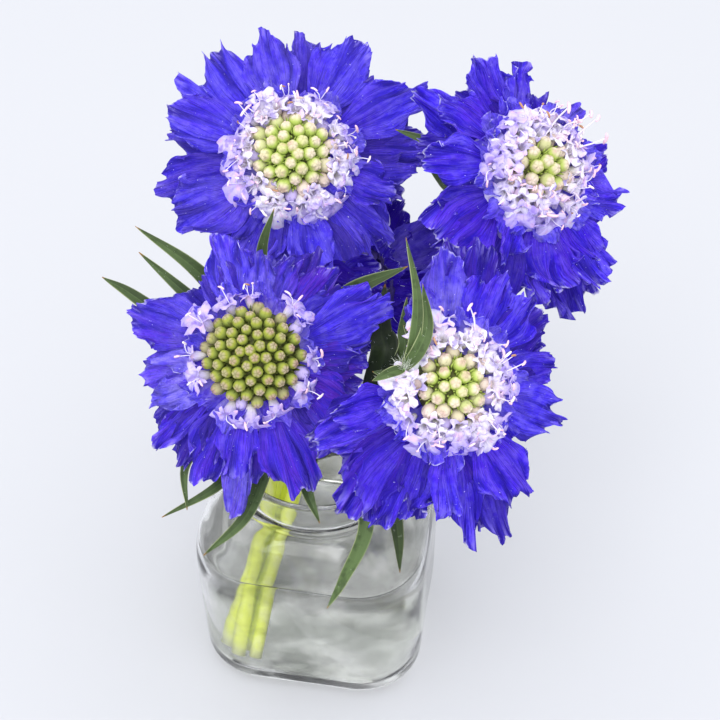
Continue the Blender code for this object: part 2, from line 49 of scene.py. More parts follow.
# The blooms, in millimetres and degrees, at the same places as their solids.
# rays, extraRays: clock angle, reach, width, lift of the tip and, on some, how far the root stands up.
# florets: rows of count, ring radius and tilt outwards.
# leaves: height on the stem, points up to the tip, width, and on some how light it is, below zero as painted
# shade, and how brown its patch.
# longBracts: clock angle and reach. longStamens: clock angle, distance from the axis and size.
# tints: how pale and how plum the ray at that clock angle is.
# bare, floretGap: clock angles without short rays or without inner florets.
# warmth: share of violet patches. paleToneAndLight: how pale all rays are, partly the bloom's own tone and
# partly painted light, highest on bloom a, which stands in brighter light. dim: how far the bloom lies in the
# shade.
blooms = {
    "a": {
        "seed": 16,
        "centre": (-6.9, 49.2, 143.2),
        "facing": (0.05, -0.70, 0.71),
        "cutEnd": (-26.2, -17.6),
        "neck": (-9.5, 6.5),
        "route": [(-9.5, 31, 97), (-8.5, 51, 118.5), (-7.6, 58.5, 131)],
        "rays": [(350, 37.6, 17.5, 2), (30, 40, 17.5, -1.5), (64, 42, 16, 3), (90, 39, 17, -4),
                 (112, 31, 13, 1.5), (144, 35, 11, -4), (172, 34, 14, 2), (205, 35, 15, -3), (238, 38, 18, 2),
                 (266, 40, 14, -3), (292, 36.6, 16, 2), (308, 42, 12, -6), (326, 39.5, 18, -1)],
        "extraRays": [(128, 36, 15, -5), (150, 41, 15, -4), (164, 43, 17, -6), (183, 42, 15, -5),
                      (78, 38, 15, -6)],
        "bare": (318, 346),
        "florets": [(15, 14.6, 59), (13, 12.9, 44), (9, 11.8, 26)],
        "leaves": [(86, [(-21, 18, 106), (-33, 20.8, 124), (-49.9, 26.3, 135.7)], 5.4),
                   (83, [(-21, 12.5, 101), (-32.8, 12, 119.5), (-47.7, 16.6, 134)], 5.4)],
        "bractReach": 19,
        "headRadius": 10.2, "headRise": 6.2, "buds": 36, "edgeBuds": 4, "budSize": 0.93,
        "ripeness": 0.35, "redness": 0.0, "warmth": 0.35, "paleToneAndLight": 0.07,
    },
    "b": {
        "seed": 24,
        "centre": (59.3, 36.6, 147.2),
        "facing": (0.36, -0.68, 0.64),
        "cutEnd": (-21.6, -18.2),
        "neck": (-1.5, 6.5),
        "route": [(6, 23, 88), (16, 37, 98), (30, 50, 112), (46, 56, 127)],
        "rays": [(348, 33, 18, -1.5), (5, 30, 9, 2), (322, 33, 11, 2.5), (316, 38, 12, -5),
                 (292, 32, 13.5, 2), (253, 34, 22, -2), (222, 28, 7, 3), (196, 36, 13, -4), (164, 37.5, 16, 2),
                 (146, 31.5, 15, -3), (125, 28.8, 15, 1.5), (100, 26.5, 11, -3), (74, 20, 9, 1),
                 (46, 18.5, 9, 2)],
        "extraRays": [(160, 40, 17, -5), (178, 42, 18, -4), (208, 40, 17, -4), (238, 36, 16, -4),
                      (188, 34, 15, 3), (160, 31, 13, 4)],
        "florets": [(14, 12.2, 55), (12, 10.6, 42), (9, 9.2, 22)],
        "longStamens": [(22, 8, 1.7), (46, 10, 1.6), (56, 11, 1.5), (68, 11, 1.6), (80, 11.5, 1.6),
                        (205, 11, 1.4)],
        "leaves": [(126, [(39, 49, 133), (34.5, 46, 140), (31, 45.5, 147)], 5)],
        "bractReach": 20,
        "longBracts": [(306, 37)],
        "headRadius": 7.4, "headRise": 4.6, "buds": 17, "edgeBuds": 12, "budSize": 0.95,
        "ripeness": 0.8, "redness": 0.1, "warmth": 0.6, "paleToneAndLight": 0.03,
    },
    "c": {
        "seed": 16,
        "centre": (-15.4, -6.9, 116.8),
        "facing": (-0.03, -0.68, 0.73),
        "cutEnd": (-24.6, -22.4),
        "neck": (-12.5, -1.5),
        "route": [(-14.2, 2.5, 89), (-15.4, 4.6, 100)],
        "rays": [(18, 29, 8, -1), (0, 27.5, 8.5, 3), (338, 34, 13, 1), (322, 25, 9, -3), (291, 36, 16, 1.5),
                 (264, 32, 11, -5), (268, 25, 6, 3), (240, 30, 9, 1.5), (229, 36.6, 8, -5),
                 (209, 37, 13, -1.5), (190, 31.5, 12, 3), (187, 43.6, 8, -6), (160, 38.4, 16, 1.5),
                 (138, 30, 9, -3), (114, 30, 12, 4), (92, 30, 11, 1), (69, 38, 16, 1.5), (41, 30, 11, -2)],
        "extraRays": [(54, 31, 13, -3), (80, 30, 13, -4), (30, 33, 12, -4)],
        "tints": {264: (0.3, 0.0), 240: (0.75, 0.0), 268: (1.0, 0.0), 187: (0.65, 0.0), 92: (0.0, 1.0),
                  114: (0.0, 1.0), 41: (0.0, 0.9), 0: (0.35, 0.3), 18: (0.1, 0.5), 160: (0.0, 0.5),
                  138: (0.1, 0.5)},
        "florets": [(12, 14.0, 58)],
        "leaves": [(78.6, [(-20, -11, 82), (-28, -21.5, 81), (-42.5, -27.6, 75.9)], 3.6),
                   (86, [(-26, -7, 91), (-35.5, -17.9, 87.5), (-35.2, -27.6, 78.9)], 3.4),
                   (91, [(-32, 8, 107), (-49.4, 13, 120.9), (-58.6, 15.3, 126.5)], 4.5),
                   (76.6, [(-14.5, -14, 80.5), (-19.3, -29, 77.5), (-30.3, -37.8, 72)], 4.4),
                   (90, [(-3, 11, 104), (9, 14.8, 120.5), (25.3, 14.1, 131.1)], 7, 0.5, 1.0),
                   (97, [(-14.5, 16, 112), (-14.8, 20.7, 130), (-10.7, 21.3, 145.1)], 4.2)],
        "bractReach": 19,
        "longBracts": [(196, 34)],
        "headRadius": 11.8, "headRise": 7.8, "buds": 58, "edgeBuds": 4, "budSize": 0.77,
        "ripeness": 0.0, "redness": 0.6, "warmth": 0.9, "paleToneAndLight": 0.06,
    },
    "d": {
        "seed": 12,
        "centre": (34.8, -20.8, 119.3),
        "facing": (0.12, -0.72, 0.68),
        "cutEnd": (-19.9, -22.8),
        "neck": (-4.5, -4.5),
        "route": [(4, -7, 86), (17, -9.5, 98), (28.5, -10.8, 106)],
        "rays": [(4, 35, 13, -1), (42, 31, 22, 2), (84, 30, 12, -3), (110, 30, 15, 1.5), (136, 24, 9, -2),
                 (153, 34.5, 15.5, 2), (174, 41.5, 9, -4), (191, 33, 8, 1.5), (215, 40, 22, -2),
                 (249, 35, 13, -3), (264, 30, 12, 2), (354, 26, 9, -3)],
        "extraRays": [(14, 38, 13, -4), (22, 37, 16, -2), (230, 42, 16, -4), (258, 37, 15, -5),
                      (165, 42, 13, -5), (60, 32, 14, -3)],
        "tints": {4: (0.35, 0.0)},
        "bare": (278, 350),
        "florets": [(14, 13.2, 58), (12, 11.4, 42), (8, 10.2, 24)],
        "floretGap": (282, 322),
        "leaves": [(82, [(-1.5, -16, 88), (-2.2, -25, 85.5), (1.4, -32.6, 79.3)], 4.6),
                   (87, [(11, -20, 91), (14, -33, 79), (8, -41.5, 67), (3.2, -44.4, 57.2)], 4.4, 1.9),
                   (92, [(19, -22, 90), (22.3, -34, 79), (23.3, -39, 66.2)], 4.4, -0.3),
                   (93, [(18.7, -4.5, 115.0), (18.0, 2.5, 118.2), (19.2, 14.0, 125.0)], 7.5, -1.2),
                   (94, [(23.5, -5.2, 115.7), (23.9, 1.0, 119.5), (25.0, 7.7, 125.5)], 3.6)],
        "bractReach": 19,
        "headRadius": 8.4, "headRise": 4.8, "buds": 25, "edgeBuds": 3, "budSize": 0.84,
        "ripeness": 0.65, "redness": 0.0, "warmth": 0.55, "paleToneAndLight": 0.03,
    },
    "e": {
        "seed": 8,
        "centre": (7.9, 32.5, 108.2),
        "facing": (0.02, -0.70, 0.71),
        "cutEnd": (-22.5, -13.2),
        "neck": (-5.5, 13),
        "route": [(1, 30, 86), (7, 41.5, 94)],
        "rays": [(8, 25, 13, 1.5), (34, 31, 15, -1.5), (57, 34, 15, 2), (81, 29, 13, -3), (105, 25, 12, 1.5),
                 (140, 23, 11.5, -2), (178, 22, 11.5, 1.5), (216, 20, 11, -2), (252, 19, 11, 1.5),
                 (288, 18, 10, -2), (326, 19, 11, 1.5)],
        "extraRays": [(340, -13, 15, 4, 9), (20, -14, 16, 5, 9), (60, -10, 14, 5, 9), (300, -10, 14, 4, 9),
                      (100, -12, 14, 3, 10), (262, -12, 14, 3, 9)],
        "dim": 0.75,
        "florets": [(11, 10.4, 60), (8, 8.8, 36)],
        "leaves": [],
        "bractReach": 14,
        "headRadius": 6.4, "headRise": 4.2, "buds": 14, "edgeBuds": 0, "budSize": 0.8,
        "ripeness": 0.3, "redness": 0.3, "warmth": 0.5, "paleToneAndLight": 0.0,
    },
}


# Small helpers for points and frames.

def ease(value):
    value = np.clip(value, 0.0, 1.0)
    return value * value * (3 - 2 * value)


# Its face along +Z, its upper side along +Y.
def bloomFrame(bloom):
    facing = Vector(bloom["facing"]).normalized()
    upper = (Vector((0, 0, 1)) - facing.z * facing).normalized()
    turn = Matrix((upper.cross(facing), upper, facing)).transposed().to_4x4()
    return Matrix.Translation(Vector(bloom["centre"]) * mm) @ turn


def onFace(clock, radius, height):
    return Vector((radius * math.sin(clock), radius * math.cos(clock), height))


def placed(matrix, grid):
    return grid @ np.array(matrix.to_3x3()).T + np.array(matrix.translation)


def someWay(draw, reach):
    return Vector([draw.uniform(-reach, reach) for _ in range(3)])


# A smooth curve through the route, with steps points to each span.
def smoothPath(route, steps):
    ends = [route[0] * 2 - route[1]] + list(route) + [route[-1] * 2 - route[-2]]
    path = []
    for span in range(len(route) - 1):
        before, start, end, after = ends[span:span + 4]
        for step in range(steps):
            u = step / steps
            path.append(0.5 * (2 * start + (end - before) * u
                               + (2 * before - 5 * start + 4 * end - after) * u ** 2
                               + (3 * start - before - 3 * end + after) * u ** 3))
    return path + [route[-1]]


# A smooth random surface between about -1 and 1.
def swell(draw, s, t, waves, reach=3.0):
    total = 0.0
    for _ in range(waves):
        total = total + np.sin(draw.uniform(-reach, reach) * np.pi * s + draw.uniform(-reach, reach) * np.pi * t
                               + draw.uniform(0, math.tau))
    return total / math.sqrt(waves)


def addObject(name, data):
    made = bpy.data.objects.new(name, data)
    bpy.context.scene.collection.objects.link(made)
    return made


def addLayer(mesh, name, values):
    values = np.array(values, np.float32)
    kind, field = ("FLOAT_VECTOR", "vector") if values.ndim > 1 else ("FLOAT", "value")
    mesh.attributes.new(name, kind, "POINT").data.foreach_set(field, values.ravel())


# A finished piece: it stands still with the jar, in place of its solid where it has one.
def settle(made, node=None, material=None):
    if material:
        made.data.materials.append(material)
    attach(made, "root")
    if node:
        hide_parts(node)
    return made


# Points, faces and per-point values that end up in one mesh. Faces come in blocks of equal length.
class Pile:

    def __init__(self):
        self.points, self.faces, self.values, self.count = [], [], {}, 0

    def add(self, points, blocks, **values):
        points = np.asarray(points, float).reshape(-1, 3)
        self.points.append(points)
        for block in blocks:
            self.faces.extend((np.asarray(block) + self.count).tolist())
        for name, value in values.items():
            filled = np.broadcast_to(np.asarray(value, float), (len(points),))
            self.values.setdefault(name, []).append(filled)
        self.count += len(points)

    def build(self, name):
        mesh = bpy.data.meshes.new(name)
        mesh.from_pydata(np.concatenate(self.points).tolist(), [], self.faces)
        for key, parts in self.values.items():
            addLayer(mesh, key, np.concatenate(parts))
        mesh.shade_smooth()
        return addObject(name, mesh)


def pointNumbers(rows, columns, wrap):
    index = np.arange(rows * columns).reshape(rows, columns)
    return np.concatenate([index, index[:, :1]], axis=1) if wrap else index


def quadsBetween(index):
    near, far = index[:-1], index[1:]
    return np.stack([near[:, :-1], near[:, 1:], far[:, 1:], far[:, :-1]], axis=-1).reshape(-1, 4)


# A thin closed skin round a grid of points; wrap joins its last column to its first.
def addSheet(pile, grid, thickness, wrap=False, **values):
    rows, columns = grid.shape[:2]
    beside = np.concatenate([grid[:, -1:], grid, grid[:, :1]], axis=1)
    side = (beside[:, 2:] - beside[:, :-2]) * 0.5 if wrap else np.gradient(grid, axis=1)
    normal = np.cross(np.gradient(grid, axis=0), side)
    normal /= np.linalg.norm(normal, axis=2, keepdims=True) + 1e-12
    half = normal * (0.5 * np.broadcast_to(np.asarray(thickness, float), (rows, columns)))[..., None]
    index = pointNumbers(rows, columns, wrap)
    top = quadsBetween(index)[:, [0, 3, 2, 1]]
    below = rows * columns
    blocks = [top, top[:, ::-1] + below]
    edges = [index[0, ::-1], index[-1]] if wrap else [np.concatenate(
        [index[:, 0], index[-1, 1:], index[-2::-1, -1], index[0, -2::-1]])]
    for edge in edges:
        start, end = edge[:-1], edge[1:]
        blocks.append(np.stack([end, start, start + below, end + below], axis=-1))
    both = {"under": np.repeat((0.0, 1.0), below)}
    for name, value in values.items():
        both[name] = np.tile(np.broadcast_to(np.asarray(value, float), (rows, columns)).reshape(-1), 2)
    pile.add(np.stack([grid + half, grid - half]), blocks, **both)


# A round stem along a path with rounded ends; radii has one value for each point.
def addTube(pile, path, radii, sides, **values):
    path = np.array([list(place) for place in path])
    along = np.gradient(path, axis=0)
    along /= np.linalg.norm(along, axis=1, keepdims=True)
    side = np.cross(along[0], (0.3, 0.9, 0.1))
    turn = np.arange(sides)[:, None] * math.tau / sides
    rings = []
    for place, direction, radius in zip(path, along, radii):
        side = side - direction * (side @ direction)
        side /= np.linalg.norm(side)
        rings.append(place + radius * (np.cos(turn) * side + np.sin(turn) * np.cross(direction, side)))
    index = pointNumbers(len(path), sides, True)
    first, last, tips = index[0], index[-1], len(path) * sides
    ends = [[first[n + 1], first[n], tips] for n in range(sides)]
    ends += [[last[n], last[n + 1], tips + 1] for n in range(sides)]
    share = np.append(np.repeat(np.linspace(0, 1, len(path)), sides), (0.0, 1.0))
    pile.add(np.concatenate(rings + [path[:1], path[-1:]]), [quadsBetween(index), ends], along=share, **values)


# Node helpers. An input takes another node's output or a plain value.

def addNode(tree, kind, inputs=None, **settings):
    node = tree.nodes.new(kind)
    for name, value in settings.items():
        setattr(node, name, value)
    for name, value in (inputs or {}).items():
        if isinstance(value, bpy.types.NodeSocket):
            tree.links.new(value, node.inputs[name])
        elif value is not None:
            node.inputs[name].default_value = value
    return node


# A name stands for the value that a piece carries under it.
def valueOf(tree, value):
    if isinstance(value, str):
        return addNode(tree, "ShaderNodeAttribute", attribute_name=value).outputs["Fac"]
    return value


def mathNode(tree, operation, first, second=None, clamp=False):
    inputs = {0: valueOf(tree, first), 1: valueOf(tree, second)}
    return addNode(tree, "ShaderNodeMath", inputs, operation=operation, use_clamp=clamp).outputs[0]


def product(tree, first, second):
    return mathNode(tree, "MULTIPLY", first, second)


def mixColour(tree, factor, *colours):
    below, above = [colour if isinstance(colour, bpy.types.NodeSocket) else (*colour, 1) for colour in colours]
    inputs = {0: valueOf(tree, factor), 6: below, 7: above}  # the colour sockets of a mix
    return addNode(tree, "ShaderNodeMix", inputs, data_type="RGBA").outputs[2]


# A smooth step: start up to low, end from high on.
def spread(tree, value, low, high, end=1.0, start=0.0):
    inputs = {"Value": valueOf(tree, value), "From Min": low, "From Max": high, "To Min": start, "To Max": end}
    return addNode(tree, "ShaderNodeMapRange", inputs, interpolation_type="SMOOTHSTEP").outputs["Result"]


# Colours over one another. Each row has a colour or its name, a value, and the smooth step that turns the value
# into the colour's share, where the value isn't the share itself.
def layered(tree, look, body, rows):
    for colour, value, *step in rows:
        share = spread(tree, value, *step) if step else value
        body = mixColour(tree, share, body, look[colour] if isinstance(colour, str) else colour)
    return body


def noiseOver(tree, place, scale, detail, rough):
    inputs = {"Vector": place, "Scale": scale, "Detail": detail, "Roughness": rough}
    return addNode(tree, "ShaderNodeTexNoise", inputs).outputs["Fac"]


# Noise fixed to the piece, so it stays put in every view.
def noiseAt(tree, scale, detail=3.0, rough=0.5, stretch=None):
    place = addNode(tree, "ShaderNodeTexCoord").outputs["Object"]
    if stretch:
        place = addNode(tree, "ShaderNodeMapping", {"Vector": place, "Scale": stretch}).outputs[0]
    return noiseOver(tree, place, scale, detail, rough)


# A material with one Principled shader whose plain values are set here.
def newMaterial(name, **settings):
    material = bpy.data.materials.new(name)
    material.use_nodes = True
    for key, value in settings.items():
        material.node_tree.nodes["Principled BSDF"].inputs[key.replace("_", " ")].default_value = value
    return material, material.node_tree


def finish(material, body, ridge=None, strength=1.0, distance=0.0):
    tree = material.node_tree
    shader = tree.nodes["Principled BSDF"].inputs
    tree.links.new(body, shader["Base Color"])
    if ridge:
        bump = addNode(tree, "ShaderNodeBump", {"Height": ridge, "Strength": strength, "Distance": distance})
        tree.links.new(bump.outputs["Normal"], shader["Normal"])
    return material


# Two colours that change over in a noise, with a relief from a second noise where there is one.
def mottled(name, colours, noise, step=(), relief=None, strength=1.0, distance=0.0, **settings):
    material, tree = newMaterial(name, **settings)
    share = noiseAt(tree, *noise)
    body = mixColour(tree, spread(tree, share, *step) if step else share, *colours)
    return finish(material, body, relief and noiseAt(tree, *relief), strength, distance)


# A node group with its named sockets: name, kind and, for some, the value they start from.
def newGroup(name, kind, inputs, outputs):
    tree = bpy.data.node_groups.new(name, kind)
    for way, sockets in (("INPUT", inputs), ("OUTPUT", outputs)):
        for title, socket, *value in sockets:
            made = tree.interface.new_socket(title, in_out=way, socket_type="NodeSocket" + socket)
            if value:
                made.default_value = value[0]
    return tree, tree.nodes.new("NodeGroupInput").outputs, tree.nodes.new("NodeGroupOutput").inputs


# Uneven streaks that fan out along a petal or leaf, from its own along and across values.
def veinGroup():
    tree, given, result = newGroup("fineVeins", "ShaderNodeTree", [
        ("Count", "Float", 8.0), ("Stretch", "Float", 1.5)], [("Streaks", "Float"), ("Mottle", "Float")])
    place = addNode(tree, "ShaderNodeCombineXYZ", {"X": product(tree, "across", given["Count"]),
                                                   "Y": product(tree, "along", given["Stretch"])})
    streaks = noiseOver(tree, place.outputs[0], 1.0, 4.0, 0.62)
    tree.links.new(spread(tree, streaks, 0.33, 0.67), result["Streaks"])
    tree.links.new(noiseAt(tree, 420.0, 4.0, 0.6), result["Mottle"])
    return tree


veins = veinGroup()


def addVeins(tree, count, stretch):
    return addNode(tree, "ShaderNodeGroup", {"Count": count, "Stretch": stretch}, node_tree=veins).outputs


# Ray florets: ruffled blue-violet fans with a cut edge.

petalLook = {
    "dark": (0.012, 0.002, 0.20),
    "deep": (0.020, 0.004, 0.60),
    "body": (0.056, 0.025, 1.0),
    "violet": (0.100, 0.018, 0.90),
    "line": (0.022, 0.003, 0.30),
    "bright": (0.175, 0.130, 1.0),
    "pale": (0.44, 0.37, 1.0),
    "plum": (0.085, 0.004, 0.46),
    "speck": (0.85, 0.82, 1.0),
    "paintedGlow": 0.22,  # painted glow: the petals give off light of their own colour, standing in for light that comes through the thin petals
    "veins": (9.0, 4.0),  # count across, and how fast they change along the petal
    "threads": (24.0, 1.6),
    "bump": (1.0, 0.75 * mm),
    "tintSeed": 40,
    "rowLength": 1.15 * mm,
    "rowBunching": 1.35,
    "columnWidth": 0.33 * mm,
    "thickness": 0.22 * mm,
    "root": 8 * mm,
    "longFrom": 24 * mm,  # petals this long are longer than on the solids
    "extend": 2.2 * mm,
    "fullSize": 26 * mm,  # petals shorter than this have smaller folds
    "claw": 0.20,
    "fullWidthAt": 0.68,
    "roundEdge": 0.30,
    "tipTaper": 0.05,
    "notches": (2, 3, 3),
    "notchDepth": 0.06,
    "notchWidth": 0.075,
    "teeth": [(1.4 * mm, 1.0 * mm), (0.66 * mm, 0.75 * mm)],
    "sideTooth": 1.5 * mm,
    "nibble": (0.05, 0.09),  # waves and teeth down the sides
    "lobe": 4.4 * mm,
    "lobeDepth": 1.7 * mm,
    "ruffle": 0.12,
    "waves": 1.2,
    "waveWidth": 11 * mm,
    "liftPower": 1.4,
    "level": 0.7 * mm,
    "climbWithin": 0.22,  # share of the length over which a raised root comes down
    "cup": 0.35,
    "folds": [(7.5 * mm, 0.95 * mm, 1.5), (3.4 * mm, 0.50 * mm, 2.2), (1.5 * mm, 0.18 * mm, 2.6)],
    "wander": 0.17,
    "frill": 2.0 * mm,
    "frillWave": 3.7 * mm,
    "crinkle": 0.55 * mm,
    "pinch": 2.0 * mm,
    "pinchWidth": 0.17,
    "curl": 2.5 * mm,
    "curlFrom": 0.72,
    "crumple": 0.75 * mm,
    "sway": 0.09,
    "twist": 0.45,
    "reliefDepth": 1.1 * mm,
    "shortRay": (0.78, 0.97),  # beside its neighbours
    "ringLobe": [(17, 23), (5.5, 9), (2, 5.5)],  # reach, width and lift of the small lobes round the centre
}


# Uneven teeth along an edge, from 0 at their feet to about 1 at the tallest tip.
def toothed(place, wide, draw):
    height = np.zeros_like(place)
    foot = place.min()
    while foot < place.max():
        step = wide * draw.uniform(0.6, 1.7)
        tall, peak = draw.uniform(0.15, 1.0), draw.uniform(0.25, 0.75)
        share = (place - foot) / step
        tooth = tall * np.where(share < peak, share / peak, (1 - share) / (1 - peak))
        height = np.where((share >= 0) & (share < 1), tooth, height)
        foot += step
    return height


# A petal as a grid in its bloom's frame, with its along, across and relief values.
def petalGrid(ray, draw, phase):
    look = petalLook
    clock = math.radians(ray[0])
    reach, width, lift, climb = [value * mm for value in (*ray[1:], 0)[:4]]
    span = reach - look["root"] + (look["extend"] if reach > look["longFrom"] else 0)
    rows = max(9, round(abs(span) / look["rowLength"]))
    columns = max(11, round(width / look["columnWidth"]))
    s = 1 - (1 - np.linspace(0, 1, rows)[:, None]) ** look["rowBunching"]
    t = np.linspace(-1, 1, columns)[None, :]
    level = min(look["level"], max(-look["level"], lift))
    widening = look["claw"] + (1 - look["claw"]) * ease(s / look["fullWidthAt"])
    small = min(1.0, abs(span) / look["fullSize"])

    # the outline: cuts, teeth and round lobes
    cuts = 0.0
    for _ in range(draw.choice(look["notches"])):
        middle = draw.uniform(-0.75, 0.75)
        deep = look["notchDepth"] * draw.uniform(0.2, 1.0)
        cuts = cuts + deep * np.exp(-((t - middle) / look["notchWidth"]) ** 2)
    teeth = sum(deep * (toothed(t * width / 2, wide, draw) - 0.5) for wide, deep in look["teeth"])
    lobes = look["lobeDepth"] * (np.sin(0.5 * np.pi * toothed(t * width / 2, look["lobe"], draw)) - 0.6)
    rim = 1 - (look["roundEdge"] * t * t + cuts) * s * s
    along = look["root"] + span * s * rim + np.sign(span) * small * (teeth * s ** 9 + lobes * s ** 4)
    waved, cut = look["nibble"]
    nibbled = waved * swell(draw, s, 0 * t, 3, 5) + cut * toothed(s * abs(span), look["sideTooth"], draw)
    sides = 1 + nibbled * t ** 4 * s ** 1.5
    across = 0.5 * width * t * widening * (1 - look["tipTaper"] * s ** 4) * sides

    # the large shape: lift, ruffle and cup
    height = level + (lift - level) * s ** look["liftPower"] + climb * ease(s / look["climbWithin"])
    waves = look["waves"] + width / look["waveWidth"]
    height = height + look["ruffle"] * width * s * s * np.sin(waves * np.pi * t + phase)
    height = height + draw.uniform(-0.4, 1.4) * mm * np.sin(math.pi * s) * small
    height = height + draw.uniform(-look["cup"], look["cup"]) * np.abs(across) * s

    # folds that fan out, each finer than the last, and the frilled edge
    bent = t + look["wander"] * swell(draw, s, t, 3, 1.6) * s
    smooth = height
    for wave, deep, power in look["folds"]:
        turn = math.tau * bent * width / 2 / (wave * draw.uniform(0.8, 1.25)) + draw.uniform(0, 6.3)
        swing = 0.75 + 0.25 * swell(draw, s, t, 2, 1.5)
        height = height + deep * small * np.sin(turn) * swing * s ** power
        across = across + 0.35 * deep * small * np.cos(turn + 0.6) * s ** power
    turn = math.tau * bent * width / 2 / (look["frillWave"] * draw.uniform(0.8, 1.2)) + draw.uniform(0, 6.3)
    frill = look["frill"] * small * s ** 4
    height = height + frill * np.sin(turn) * (0.8 + 0.5 * swell(draw, 0 * s, t, 3, 2))
    across = across + 0.30 * frill * np.cos(turn + 0.5)
    along = along - 0.30 * frill * np.sin(turn) ** 2
    height = height + look["crinkle"] * small * swell(draw, s, t, 6, 6.5) * s
    crease = draw.uniform(-0.6, 0.6)
    fold = np.exp(-((bent - crease) / look["pinchWidth"]) ** 2) * s ** 1.3
    fold = fold * draw.uniform(-1, 1) * look["pinch"] * small
    height = height + fold
    across = across - 0.5 * np.abs(fold) * np.sign(t - crease)
    relief = np.tanh((height - smooth) / look["reliefDepth"])

    # the curled tip, the crumpled face and a turn about its own length
    curl = draw.uniform(-1, 1) * look["curl"] * small
    curl = curl * ease((s - look["curlFrom"]) / (1 - look["curlFrom"])) ** 1.5
    height = height + curl * (0.7 + 0.5 * np.sin(1.7 * t + draw.uniform(0, 6.3)))
    along = along - 0.5 * np.abs(curl)
    crumple = look["crumple"] * small
    height = height + crumple * swell(draw, s, t, 4) * s
    along = along + crumple * swell(draw, s, t, 3) * s
    across = across + crumple * swell(draw, s, t, 3) * s
    across = across + draw.uniform(-look["sway"], look["sway"]) * span * s * s
    twist = draw.uniform(-look["twist"], look["twist"]) * s
    height, across = height + across * np.sin(twist), across * np.cos(twist)

    axes = [np.array(axis) for axis in (onFace(clock, 1, 0), onFace(clock + math.pi / 2, 1, 0), (0, 0, 1.0))]
    return sum(part[..., None] * axis for part, axis in zip((along, across, height), axes)), s, t, relief


def addPetal(pile, matrix, ray, draw, phase, pale, plum, shade):
    grid, s, t, relief = petalGrid(ray, draw, phase)
    addSheet(pile, placed(matrix, grid), petalLook["thickness"] * (1 - 0.5 * s ** 3), along=s, relief=relief,
             across=t * ray[2] / 12 + draw.uniform(0, 9), pale=pale, plum=plum, shade=min(1.0, shade))


# The big fans, a shorter layer in their gaps, and the small lobes that stand round the centre.
def rayFlorets(key, bloom, material):
    look = petalLook
    matrix = bloomFrame(bloom)
    phases = random.Random(bloom["seed"])  # the same ruffle as on the solids
    draw = random.Random(bloom["seed"] + look["tintSeed"])
    pile = Pile()
    tints, dim, bare = bloom.get("tints", {}), bloom.get("dim", 0.0), bloom.get("bare", (0, 0))
    # The shade values paint shade on lowered petals, on the shorter layer beneath and on the bloom that lies in
    # the shade, which also gets no pale lobes.
    for ray in bloom["rays"]:
        pale, plum = tints.get(ray[0], (max(0.0, draw.uniform(-0.5, 0.16)), draw.uniform(0, 0.4)))
        addPetal(pile, matrix, ray, draw, phases.uniform(0, math.tau), pale, plum,
                 dim + draw.uniform(0, 0.25) * (ray[3] < 0))
    order = sorted(bloom["rays"])
    for here, ahead in zip(order, order[1:] + [(order[0][0] + 360, *order[0][1:])]):
        gap = ahead[0] - here[0]
        steps = 1 if gap < 50 else 2
        for step in range(steps):
            clock = here[0] + gap * (step + 0.5) / steps + draw.uniform(-5, 5)
            reach = 0.5 * (here[1] + ahead[1]) * draw.uniform(*look["shortRay"])
            under = (clock, reach, draw.uniform(11, 16), min(here[3], ahead[3]) - draw.uniform(0.5, 4))
            if not bare[0] < clock % 360 < bare[1]:
                addPetal(pile, matrix, under, draw, draw.uniform(0, math.tau), 0.0, draw.uniform(0, 0.8),
                         dim + draw.uniform(0.35, 0.7))
    for extra in bloom["extraRays"]:
        addPetal(pile, matrix, extra, draw, draw.uniform(0, math.tau), 0.0, draw.uniform(0, 0.6),
                 dim + draw.uniform(0.3, 0.7) * (extra[3] < 0))
    for ray in bloom["rays"]:
        for side in (-1, 1):
            lobe = (ray[0] + side * draw.uniform(4, 14), *(draw.uniform(*reach) for reach in look["ringLobe"]))
            pale = draw.uniform(0.1, 0.9) * (dim < 0.5)
            addPetal(pile, matrix, lobe, draw, draw.uniform(0, math.tau), pale, 0.0, dim)
    made = settle(pile.build("petals_" + key), "bloom_%s_ray_florets" % key, material)
    print("petals of bloom", key + ":", len(made.data.polygons), "faces")


